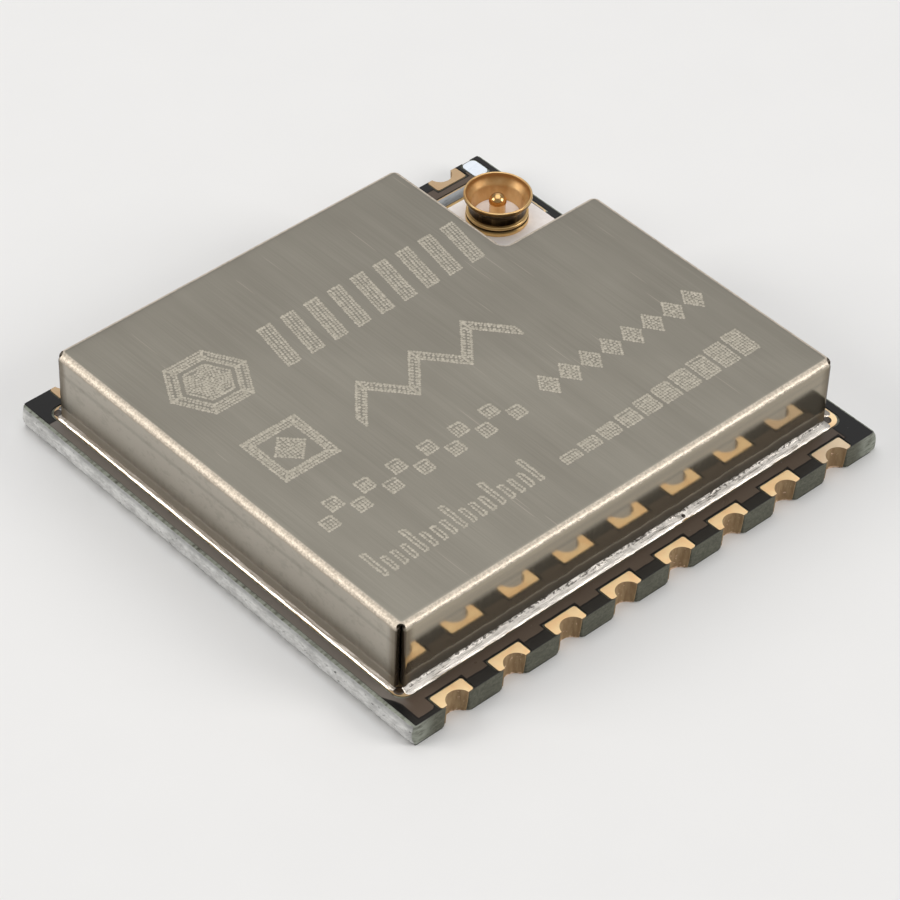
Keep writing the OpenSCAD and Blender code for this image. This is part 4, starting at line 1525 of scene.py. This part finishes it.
@dataclass
class CanSolder:
    """The fillets of solder between the can's walls and its land, crinkled as they froze."""

    finishes: Finishes
    can: ShieldCan
    column: float = 0.04
    rows: int = 8
    crinkle: float = 0.010
    inside: float = 0.02  # how far a fillet reaches into the wall
    widths: tuple[float, ...] = (1.12, 1.0, 1.0, 1.06)  # front, right, back, left, of the CAD fillets' width
    rises: tuple[float, ...] = (0.08, 0.14, 0.1, 0.02)  # up those walls
    slim: float = 0.55  # size of a fillet at the ends of its flap, as a share of its full size
    growth: float = 4.0  # and what it gains from there with each millimetre
    nose: float = 0.07  # how far a fillet runs on past the end of its flap
    nose_angles: tuple[float, ...] = (25, 50, 72, 86)
    bead: float = 0.038  # how thick its outer edge stands
    void: Flat = (2.08, -6.98)  # where the front fillet failed to wet
    void_size: float = 0.1
    void_flux: Flat = (0.075, 0.07)  # radius and height of the flux in it
    slit_foot_shade: Flat = (0.15, 0.03)  # and of the dark drops at three corners of the can, painted shade at the foot of each slit
    slit_foot_shade_out: float = 0.035  # how far the middle of that drop stands out of the rounded corner
    flux_lift: float = 0.001  # above the land
    dome_steps: int = 6
    flux_steps: int = 28
    sharp: float = 60.0

    def rounded(self, rib: Rib, turn: float) -> list[tuple[Rib, float]]:
        """The rounded end past one rib.

        Args:
            rib: The last rib of the flap's foot.
            turn: 1 past the foot's end, -1 before its start.

        Returns:
            Ribs and sizes, outermost last.
        """
        way = Rib(rib.at, (-rib.out[1] * turn, rib.out[0] * turn))
        ends = []
        for angle in self.nose_angles:
            past = self.nose * math.sin(math.radians(angle))
            ends.append((Rib(way.moved(past), rib.out), self.slim * math.cos(math.radians(angle))))
        return ends

    def path(self, ribs: Sequence[Rib]) -> list[tuple[Rib, float]]:
        """Even steps along a flap's foot, and a rounded nose past each end.

        Args:
            ribs: The flap's foot.

        Returns:
            The ribs and the fillet's size at each, as a share of its full size.
        """
        lengths = [0.0]
        for a, b in zip(ribs, ribs[1:]):
            lengths.append(lengths[-1] + math.dist(a.at, b.at))
        total = lengths[-1]
        places = []
        k = 0
        for t in between(0, total, round(total / self.column)):
            while k < len(ribs) - 2 and lengths[k + 1] < t:
                k += 1
            a, b = ribs[k], ribs[k + 1]
            share = min(1.0, (t - lengths[k]) / max(1e-6, lengths[k + 1] - lengths[k]))
            at = tuple(p + (q - p) * share for p, q in zip(a.at, b.at))
            out = Vector(tuple(p + (q - p) * share for p, q in zip(a.out, b.out))).normalized()
            size = min(1.0, self.slim + self.growth * min(t, total - t))
            places.append((Rib(at, tuple(out)), size))
        return self.rounded(ribs[0], -1.0)[::-1] + places + self.rounded(ribs[-1], 1.0)

    def section(self, rib: Rib, size: float, run: float, rise: float) -> list[Point]:
        """A fillet's section at one rib, from inside the wall round its outer edge and back.

        Args:
            rib: The place on the flap's foot.
            size: The fillet's size there, as a share of its full size.
            run: How far it reaches from the wall.
            rise: How far it climbs the wall.

        Returns:
            The section's places.
        """
        x, y = rib.at
        floor = self.can.box.low.z
        pit = math.exp(-((math.dist(rib.at, self.void) / self.void_size) ** 2))
        climb = rise * size * (1.0 + 0.25 * wobble(x, y, 0, 2.4) + 0.15 * wobble(x, y, 5, 9))
        climb *= 1 - 0.85 * pit
        edge = 0.95 + 0.06 * wobble(x, y, 9, 2.5) + 0.05 * wobble(x, y, 4, 11)
        reach = run * edge * min(1.0, size * 1.6) * (1 - 0.5 * pit)
        made = [(*rib.moved(-self.inside), floor)]
        for share in between(0, 1, self.rows):
            bump = wobble(x * 0.4, y * 0.4, share * 0.5, 5) + 0.7 * wobble(x * 0.3, y * 0.3, share, 9)
            amount = min(1.0, 4 * share + 0.3) * (1.1 - 0.6 * share) * size
            lip = self.bead * (1 - (1 - min(1.0, share * 2.6)) ** 2) * size * (1 - pit)
            lift = max(0.0, lip + climb * share**1.8 + self.crinkle * bump * amount)
            made.append((*rib.moved(reach * (1 - share)), floor + lift))
        made.append((*rib.moved(-self.inside), made[-1][2]))
        return made

    def strip(
        self, side: str, ribs: Sequence[Rib], run: float, rise: float, material: bpy.types.Material
    ) -> None:
        """One fillet along a flap's foot.

        Args:
            side: The can's side, which names the piece and the CAD fillet that it stands for.
            ribs: The flap's foot.
            run: How far it reaches from the wall.
            rise: How far it climbs the wall.
            material: Its material.
        """
        shape = Shape()
        shape.tube([self.section(rib, size, run, rise) for rib, size in self.path(ribs)])
        seat(shape.build(f"{side}_fillet", material, self.sharp), "solder", f"solder_{side}")

    def puddle(self, name: str, at: Flat, size: Flat) -> None:
        """A dark drop of burnt-flux glaze on the land: flux in the void, and painted shade at the foot of a
        corner's slit.

        Args:
            name: The piece's name.
            at: Its middle.
            size: Its radius and its height.
        """
        shape = Shape()
        radius, thick = size
        angles = between(0, math.pi / 2, self.dome_steps)[:-1]
        dome = [(radius * math.cos(a), thick * math.sin(a)) for a in angles]
        centre = (*at, self.can.box.low.z + self.flux_lift)
        shape.turned([(0.0, 0.0), *dome, (0.0, thick)], centre, self.flux_steps)
        seat(shape.build(name, self.finishes.flux, self.sharp), "solder")

    def build(self) -> None:
        """Builds the fillets, the flux in the void and the dark drops of painted shade at the slits' feet."""
        made = self.finishes
        front, right, _, back, left = self.can.foot()
        sides = (
            ("front", front, made.solder),
            ("right", right, made.side_solder),
            ("back", back, made.dull_solder),
            ("left", left, made.side_solder),
        )
        for (side, ribs, material), wide, rise in zip(sides, self.widths, self.rises):
            land = Box.of(f"solder_{side}").size
            self.strip(side, ribs, min(land.x, land.y) * wide, rise, material)
        self.puddle("void_flux", self.void, self.void_flux)
        # dark drops of painted shade at the foot of three corners' slits
        box = self.can.box
        inward = self.can.bend * (1 - math.sqrt(0.5)) - self.slit_foot_shade_out
        for name, x, y in (
            ("front_left_slit_shade", box.low.x, box.low.y),
            ("front_right_slit_shade", box.high.x, box.low.y),
            ("back_left_slit_shade", box.low.x, box.high.y),
        ):
            place = (x - math.copysign(inward, x), y - math.copysign(inward, y))
            self.puddle(name, place, self.slit_foot_shade)


# ---------------------------------------------------------------- board


@dataclass
class Board:
    """The laminate with its torn ends, the masks, the lands and the castellated contacts."""

    finishes: Finishes
    hole: float = 0.37
    hole_out: float = 0.07
    plating: float = 0.04
    corner: float = 0.04  # of the masked faces
    torn_corners: Flat = (0.25, 0.07)  # of the left and right snapped ends
    score_in: float = 0.18
    bulges: Flat = (0.19, 0.24)  # how far the left and right ends stand out
    fullest: tuple[Flat, Flat] = ((0.58, 0.62), (0.25, 0.84))  # at which share of the height, and its spread
    tear: float = 0.016
    mouths: Flat = (0.11, 0.02)  # radius worn on the half holes' mouths, at the underside and at the top
    land: Flat = (1.1, 0.48)
    land_corner: float = 0.06
    trim: float = 0.06
    middle_in: float = 0.7  # from the outline to the ring round each face's middle
    levels: int = 10
    mouth_steps: int = 4
    drill_steps: int = 18
    corner_steps: int = 6
    end_steps: int = 150
    fine_end: float = 0.4  # the ends' finer stretch beside each corner
    fine_steps: int = 8
    bore_steps: int = 24
    bore_levels: int = 6
    land_steps: int = 5
    core_sharp: float = 50.0
    contact_sharp: float = 40.0

    def __post_init__(self) -> None:
        """Reads the board's box and its contacts' places from the frame."""
        self.box = Box.of("laminate")
        self.names = sorted(
            (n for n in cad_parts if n.startswith("contact_")), key=lambda n: int(n.split("_")[1])
        )
        boxes = [Box.of(n) for n in self.names]
        self.front = sorted(b.centre.x for b in boxes if b.centre.y < 0)
        self.pitch = self.front[1] - self.front[0]
        self.mask = boxes[0].high.z - self.box.high.z

    def worn(self, share: float) -> float:
        """Radius of the half holes' mouths at a share of the height, 0 at the underside."""
        return self.mouths[1] + (self.mouths[0] - self.mouths[1]) * (1 - share) ** 1.5

    def mouth(self, radius: float, worn: float) -> tuple[float, float]:
        """Where a worn mouth meets its half hole and the board's edge.

        Args:
            radius: The half hole's radius.
            worn: The mouth's radius.

        Returns:
            The angle on the half hole in degrees, and the distance along the edge from its middle.
        """
        reach = math.sqrt((radius + worn) ** 2 - (worn + self.hole_out) ** 2)
        return math.degrees(math.atan2(worn + self.hole_out, reach)), reach

    def edge(self, half_length: float, worn: float) -> list[Flat]:
        """The board's outline at one height, with its half holes, going round anticlockwise.

        Args:
            half_length: Half the length over the ends at this height.
            worn: Radius of the half holes' mouths at this height.

        Returns:
            The outline.
        """
        half_width = self.box.high.y
        drill = self.hole + self.plating
        tilt, reach = self.mouth(drill, worn)
        r = self.corner
        row: list[Flat] = []
        for x in self.front:
            mouth_y, drill_y = worn - half_width, -half_width - self.hole_out
            row += arc((x - reach, mouth_y), worn, 270, 360 - tilt, self.mouth_steps)
            row += arc((x, drill_y), drill, 180 - tilt, tilt, self.drill_steps)[1:-1]
            row += arc((x + reach, mouth_y), worn, 180 + tilt, 270, self.mouth_steps)
        near, far = half_width - r, half_width - self.fine_end
        ends = (
            between(-near, -far, self.fine_steps)
            + between(-far, far, self.end_steps)[1:-1]
            + between(far, near, self.fine_steps)
        )
        half = (
            row
            + arc((half_length - r, r - half_width), r, -90, 0, self.corner_steps)[:-1]
            + [(half_length, y) for y in ends]
            + arc((half_length - r, half_width - r), r, 0, 90, self.corner_steps)[1:]
        )
        return half + [(-x, -y) for x, y in half]

    def bulge(self, share: float, side: float) -> float:
        """How far a snapped end stands out beyond the mask at a share of the laminate's height.

        Args:
            share: 0 at the underside, 1 at the top.
            side: Negative at the left end, positive at the right.

        Returns:
            The distance. The left end is fullest above the middle, and the right end near its foot.
        """
        middle, spread = self.fullest[side > 0]
        round_part = max(0.0, math.cos(min(1.0, abs(share - middle) / spread) * math.pi / 2))
        return self.bulges[side > 0] * round_part**0.8

    def torn(self, place: Flat, height: float, share: float, mask_half: float) -> Point:
        """Where a place on the masked faces' outline lies at one height, once the board is snapped off.

        Args:
            place: The place on the outline.
            height: The height.
            share: The same as a share of the laminate's height.
            mask_half: Half the length of the masked faces.

        Returns:
            The place.
        """
        x, y = place
        side = math.copysign(1.0, x)
        near = max(0.0, min(1.0, (abs(x) - mask_half + self.corner) / self.corner))
        corner = self.torn_corners[side > 0]
        past = max(0.0, abs(y) - self.box.high.y + corner) / corner
        near *= math.sqrt(max(0.0, 1 - past * past))
        rough = wobble(x, y * 0.7, height, 2.4) + 0.8 * wobble(x, y * 1.3, height * 1.6, 8)
        rough += 0.4 * wobble(x, y, height, 20)
        out = self.bulge(share, side) * (1 + 0.12 * wobble(side, y, 0, 0.4))
        out += self.tear * rough * (0.4 + 2.4 * share * (1 - share))
        return (x + side * near * max(-0.01, out), y, height)

    def build_laminate(self) -> None:
        """Builds the core: milled long edges, and torn ends that bulge where the board was snapped off."""
        low, high = self.box.low.z, self.box.high.z
        mask_half = self.box.high.x - self.score_in
        rings = []
        for share in between(0, 1, self.levels):
            z = low + (high - low) * share
            outline = self.edge(mask_half, self.worn(share))
            rings.append([self.torn(place, z, share, mask_half) for place in outline])
        keep_x, keep_y = mask_half - self.middle_in, self.box.high.y - self.middle_in
        under = self.edge(mask_half, self.mouths[0])
        inner = [(max(-keep_x, min(keep_x, x)), max(-keep_y, min(keep_y, y))) for x, y in under]
        middles = [[(0.0, 0.0, z)] * len(inner) for z in (low, high)]
        inners = [[(x, y, z) for x, y in inner] for z in (low, high)]
        rings = [middles[0], inners[0], *rings, inners[1], middles[1]]
        shape = Shape()
        shape.sheet([[shape.point(at) for at in ring] for ring in rings], closed=True)
        core = shape.build("laminate_core", self.finishes.laminate, self.core_sharp)
        seat(core, "laminate", "laminate")

    def contact_land(self, back: float) -> list[Flat]:
        """The outline of a contact's land on one face, with +Y pointing into the board.

        Args:
            back: How far the land keeps from the board's edge.

        Returns:
            The outline.
        """
        tilt = math.degrees(math.asin((self.hole_out + back) / self.hole))
        bore = arc((0, -self.hole_out), self.hole, tilt, 180 - tilt, self.bore_steps)
        half, deep = self.land[0] / 2, self.land[1]
        trim_x, trim_y, steps = half - self.trim, back + self.trim, self.land_steps
        corner_x, corner_y = half - self.land_corner, deep - self.land_corner
        return [
            (trim_x, back),
            *arc((trim_x, trim_y), self.trim, -90, 0, steps)[1:],
            *arc((corner_x, corner_y), self.land_corner, 0, 90, steps),
            *arc((-corner_x, corner_y), self.land_corner, 90, 180, steps),
            *arc((-trim_x, trim_y), self.trim, 180, 270, steps)[:-1],
            (-trim_x, back),
            *bore[::-1],
        ]

    def contact_shape(self) -> Shape:
        """One contact about its own centre, with +Y pointing into the board."""
        shape = Shape()
        for z, back in ((0.0, self.mouths[0]), (self.box.high.z, 0.0)):
            land = self.contact_land(back)
            shape.tube([[(x, y, z) for x, y in land], [(x, y, z + self.mask) for x, y in land]])
        wall = self.hole + self.plating
        rows, backs = [], []
        for share in between(0, 1, self.bore_levels):
            z = self.mask + (self.box.high.z - self.mask) * share
            tilt, _ = self.mouth(wall, self.worn(share))
            for radius, made in ((self.hole, rows), (wall, backs)):
                bore = arc((0, -self.hole_out), radius, tilt, 180 - tilt, self.bore_steps)
                made.append([shape.point((x, y, z)) for x, y in bore])
        rows += backs[::-1]
        shape.sheet([*rows, rows[0]])
        for side in (0, -1):
            shape.faces.append(tuple(row[side] for row in rows))
        return shape

    def rows(self) -> Repeats:
        """Geometry Nodes that repeat one contact along the front edge and turn the row for the back."""
        inputs = {
            "Contact": "Geometry",
            "Count": "Int",
            "First": "Vector",
            "Step": "Vector",
            "Plating": "Material",
        }
        t = Repeats("contact_rows", inputs, "Rows")
        spaced = {"Count": t.given("Count"), "Start Location": t.given("First"), "Offset": t.given("Step")}
        repeated = {"Points": t.node("GeometryNodeMeshLine", {}, spaced), "Instance": t.given("Contact")}
        front = t.node("GeometryNodeInstanceOnPoints", {}, repeated)
        half_turn = Euler((0, 0, math.pi))
        back = t.node("GeometryNodeTransform", {}, {"Geometry": front, "Rotation": half_turn})
        t.finish(t.joined(front, back), t.given("Plating"))
        return t

    def build_contacts(self) -> None:
        """Builds both rows of contacts."""
        plate = self.finishes.plate
        piece = self.contact_shape().build("contact_rows", plate, self.contact_sharp)
        values = {
            "Count": len(self.front),
            "First": (self.front[0] * MM, self.box.low.y * MM, 0.0),
            "Step": (self.pitch * MM, 0.0, 0.0),
            "Plating": plate,
        }
        self.rows().apply(piece, values)
        smooth(piece.data, self.contact_sharp)
        seat(piece, "gold_contact", *self.names)

    def build(self) -> None:
        """Builds the laminate and the contacts, and dresses the flat nodes."""
        self.build_laminate()
        self.build_contacts()
        dress(self.finishes.mask, "mask_top", "mask_bottom")
        dress(self.finishes.plate, "ground_land", "receptacle_lands", "component_lands")
        dress(self.finishes.tin, "corner_land")


# ---------------------------------------------------------------- receptacle


@dataclass
class Receptacle:
    """The micro coaxial receptacle: moulded base, turned outer contact with its feet, and centre pin."""

    finishes: Finishes
    waist: float = 0.83
    waist_fillet: Flat = (0.02, 0.03)  # how far it reaches out on the flange, and up
    wall: float = 0.08
    flange: float = 0.92
    flange_height: float = 0.3
    flange_sunk: float = 0.02  # how far its foot reaches into the base
    flange_back: float = 0.012  # how much less it measures above its groove
    edge: float = 0.025  # broken edges of the flange
    groove: Flat = (0.15, 0.2)  # the groove's lower and upper edge above the flange's foot
    groove_depth: float = 0.06
    groove_draft: float = 0.004
    lip: float = 1.0
    lip_height: float = 0.08
    flare_height: float = 0.3
    ball: float = 0.256
    neck: float = 0.238
    step_up: float = 0.13  # how far the base stands up inside the contact
    step_gap: float = 0.03  # how much wider that step is than the contact's bore
    step_edge: float = 0.02
    step_sunk: float = 0.01
    bore: float = 0.67  # of the contact at its foot
    foot: float = 0.1
    foot_edge: float = 0.02
    foot_width: float = 2.0
    rear_width: float = 0.7
    tail_width: float = 0.5
    base_corner: float = 0.12
    base_edge: tuple[Flat, ...] = ((0.05, 0.008), (0.015, 0.02), (0.0, 0.05))  # (below its top, inset)
    steps: int = 96
    step_steps: int = 64
    pin_steps: int = 48
    flare_steps: int = 10
    lip_steps: int = 8
    ball_steps: int = 16
    corner_steps: int = 6
    metal_sharp: float = 50.0
    base_sharp: float = 30.0

    def __post_init__(self) -> None:
        """Reads the places from the frame."""
        self.base = Box.of("receptacle_base")
        self.shell = Box.of("receptacle_shell")
        self.pin = Box.of("receptacle_pin")
        middle = self.base.centre
        self.centre: Point = (middle.x, middle.y, self.base.low.z)
        self.base_height = self.base.size.z
        self.height = self.shell.size.z

    def flare(self, share: float) -> float:
        """Outside radius of the wall at a share of the flare's height."""
        return self.waist + (self.lip - self.waist) * (1 - math.cos(math.pi * share)) / 2

    def flange_profile(self) -> list[Flat]:
        """The grooved flange's section, from its bore to the waist's foot."""
        low, top = self.base_height - self.flange_sunk, self.base_height + self.flange_height
        low_groove, high_groove = shifted(self.groove, self.base_height)
        deep, upper = self.flange - self.groove_depth, self.flange - self.flange_back
        out, up = self.waist_fillet
        return [
            (self.bore, low),
            (self.flange - self.edge, low),
            (self.flange, self.base_height + self.edge),
            (self.flange, low_groove - self.edge),
            (self.flange - self.edge * 0.8, low_groove),
            (deep, low_groove + self.groove_draft),
            (deep, high_groove - self.groove_draft),
            (self.flange - self.edge * 1.2, high_groove),
            (upper, high_groove + self.edge),
            (upper, top - self.edge),
            (upper - self.edge, top),
            (self.waist + out, top),
            (self.waist, top + up),
        ]

    def shell_profile(self) -> list[Flat]:
        """The outer contact's section: grooved flange, waist, flare and rolled lip."""
        round_lip = self.wall * 0.5
        lip_top = self.height - round_lip
        flare_low = lip_top - self.lip_height * 0.5 - self.flare_height
        flare = [(self.flare(s), flare_low + self.flare_height * s) for s in between(0, 1, self.flare_steps)]
        rolled = arc((self.lip - round_lip, lip_top), round_lip, 0, 180, self.lip_steps)
        inner = [(radius - self.wall, height) for radius, height in reversed(flare)]
        return self.flange_profile() + flare + rolled + inner

    def plate(self, shape: Shape, low: Flat, high: Flat) -> None:
        """A soldered foot: a thin plate with a broken upper edge, standing on the board.

        Args:
            shape: The shape to add it to.
            low: Its low corner from the receptacle's centre.
            high: Its high corner.
        """
        cx, cy, cz = self.centre
        rings = []
        for z, inset in ((0.0, 0.0), (self.foot - self.foot_edge, 0.0), (self.foot, self.foot_edge)):
            x0, x1 = cx + low[0] + inset, cx + high[0] - inset
            y0, y1 = cy + low[1] + inset, cy + high[1] - inset
            rings.append([(x0, y0, cz + z), (x1, y0, cz + z), (x1, y1, cz + z), (x0, y1, cz + z)])
        shape.tube(rings)

    def build_shell(self) -> None:
        """Builds the outer contact with its two wide feet and the rear foot."""
        shape = Shape()
        shape.turned(self.shell_profile(), self.centre, self.steps)
        side = self.shell.high.y - self.centre[1]
        rear = self.shell.high.x - self.centre[0]
        half, rear_half = self.foot_width / 2, self.rear_width / 2
        self.plate(shape, (-half, self.waist), (half, side))
        self.plate(shape, (-half, -side), (half, -self.waist))
        self.plate(shape, (self.waist, -rear_half), (rear, rear_half))
        contact = shape.build("outer_contact", self.finishes.gold, self.metal_sharp)
        seat(contact, "gold_shell", "receptacle_shell")

    def build_pin(self) -> None:
        """Builds the centre pin with its ball and signal tail."""
        shape = Shape()
        start = -math.degrees(math.acos(self.neck / self.ball))
        ball = arc((0.0, self.pin.size.z - self.ball), self.ball, start, 90, self.ball_steps)
        shape.turned([(0.0, 0.0), (self.neck, 0.0), *ball], self.centre, self.pin_steps)
        tail, half = self.pin.low.x - self.centre[0], self.tail_width / 2
        self.plate(shape, (tail, -half), (-self.neck, half))
        pin = shape.build("centre_pin", self.finishes.gold, self.metal_sharp)
        seat(pin, "gold_shell", "receptacle_pin")

    def build_base(self) -> None:
        """Builds the moulded base with drafted sides and rounded upper edges."""
        cx, cy, cz = self.centre
        half, r, top = self.base.size.x / 2, self.base_corner, self.base_height
        rings = []
        for z, inset in ((0.0, 0.0), *((top - below, inset) for below, inset in self.base_edge)):
            side = half - inset - r
            ring: list[Flat] = []
            for quarter, (sx, sy) in enumerate(((1, 1), (-1, 1), (-1, -1), (1, -1))):
                centre = (cx + sx * side, cy + sy * side)
                ring += arc(centre, r, quarter * 90, quarter * 90 + 90, self.corner_steps)
            rings.append([(x, y, cz + z) for x, y in ring])
        shape = Shape()
        shape.tube(rings)
        out, low, high = self.bore + self.step_gap, top - self.step_sunk, top + self.step_up
        step = [
            (0.0, low),
            (out, low),
            (out, high - self.step_edge),
            (out - self.step_edge, high),
            (0.0, high),
        ]
        shape.turned(step, self.centre, self.step_steps)
        base = shape.build("moulded_base", self.finishes.white, self.base_sharp)
        seat(base, "white_moulding", "receptacle_base")

    def build(self) -> None:
        """Builds the receptacle."""
        self.build_base()
        self.build_shell()
        self.build_pin()
        dress(self.finishes.dull_solder, "receptacle_solder")


# ---------------------------------------------------------------- parts under the can


@dataclass
class InnerParts:
    """The chips, crystal and passives that the can hides."""

    finishes: Finishes

    def build(self) -> None:
        """Dresses the nodes."""
        made = self.finishes
        dress(made.black, "controller_body", "memory_body")
        dress(made.terminal, "controller_terminals", "memory_leads", "crystal_lid")
        dress(made.ceramic, "crystal_case")
        for kind, body in (("capacitor", made.tan), ("resistor", made.glaze), ("inductor", made.blue)):
            caps = f"{kind}_caps"
            dress(made.terminal, caps)
            dress(body, *sorted(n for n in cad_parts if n.startswith(kind) and n != caps))


# ---------------------------------------------------------------- studio


@dataclass(frozen=True)
class Softbox:
    """A square area light that looks at the module."""

    name: str
    place: Point
    size: float
    power: float
    colour: Colour = (1.0, 1.0, 1.0)

    def build(self) -> None:
        """Builds the light."""
        lamp = bpy.data.lights.new(self.name, "AREA")
        lamp.shape = "SQUARE"
        lamp.size = self.size * MM
        lamp.energy = self.power
        lamp.color = self.colour
        holder = added(self.name, lamp)
        holder.location = Vector(self.place) * MM
        holder.rotation_euler = (-Vector(self.place)).to_track_quat("-Z", "Y").to_euler()


@dataclass
class Studio:
    """Pale floor, soft light and the camera."""

    finishes: Finishes
    aim: Point = (-1.43, -1.574, 1.5)
    azimuth: float = -43.88
    elevation: float = 42.467
    roll: float = 2.168
    distance: float = 104.724
    lens: float = 156.13
    clip: Flat = (1.0, 10000.0)
    floor: float = 900.0
    floor_steps: int = 8
    floor_gap: float = 0.002  # between the floor and the board
    ambient: Colour = (0.3, 0.3, 0.3)
    lights: tuple[Softbox, ...] = (
        Softbox("left_back_softbox", (-170, 120, 110), 110, 0.24, (1.0, 0.97, 0.93)),
        Softbox("right_front_softbox", (120, -170, 120), 110, 0.21, (1.0, 0.97, 0.93)),
        Softbox("overhead_softbox", (30, 30, 280), 280, 0.36),
        Softbox("far_softbox", (260, 260, 300), 300, 0.2),
    )

    def build_camera(self) -> None:
        """Sets the camera by where it stands round its aim, and turns it by its roll."""
        turn, lift = math.radians(self.azimuth), math.radians(self.elevation)
        back = Vector((math.sin(turn) * math.cos(lift), -math.cos(turn) * math.cos(lift), math.sin(lift)))
        camera = bpy.data.cameras.new("camera")
        camera.lens = self.lens
        camera.clip_start, camera.clip_end = (distance * MM for distance in self.clip)
        holder = added("camera", camera)
        holder.location = (Vector(self.aim) + back * self.distance) * MM
        look = (-back).to_track_quat("-Z", "Y").to_matrix()
        holder.rotation_euler = (look @ Matrix.Rotation(math.radians(self.roll), 3, "Z")).to_euler()
        bpy.context.scene.camera = holder

    def build_floor(self) -> None:
        """Lays the floor just under the board."""
        shape = Shape()
        low = cad_box[0][2] / MM - self.floor_gap
        places = between(-self.floor / 2, self.floor / 2, self.floor_steps)
        shape.sheet([[shape.point((x, y, low)) for x in places] for y in places])
        shape.build("studio_floor", self.finishes.floor)

    def build_light(self) -> None:
        """Sets an even surround and the softboxes."""
        world = bpy.data.worlds.new("surround")
        world.use_nodes = True
        world.node_tree.nodes["Background"].inputs["Color"].default_value = (*self.ambient, 1.0)
        bpy.context.scene.world = world
        for box in self.lights:
            box.build()

    def build(self) -> None:
        """Builds the studio."""
        self.build_camera()
        self.build_floor()
        self.build_light()
        bpy.context.scene.view_settings.view_transform = "Standard"


def main() -> None:
    """Builds every sub-assembly in order."""
    logging.basicConfig(level=logging.INFO, format="%(name)s: %(message)s")
    finishes = Finishes()
    Studio(finishes).build()
    Board(finishes).build()
    can = ShieldCan(finishes)
    can.build()
    EtchedPattern(finishes, can).build()
    CanSolder(finishes, can).build()
    Receptacle(finishes).build()
    InnerParts(finishes).build()


if __name__ == "__main__":
    main()
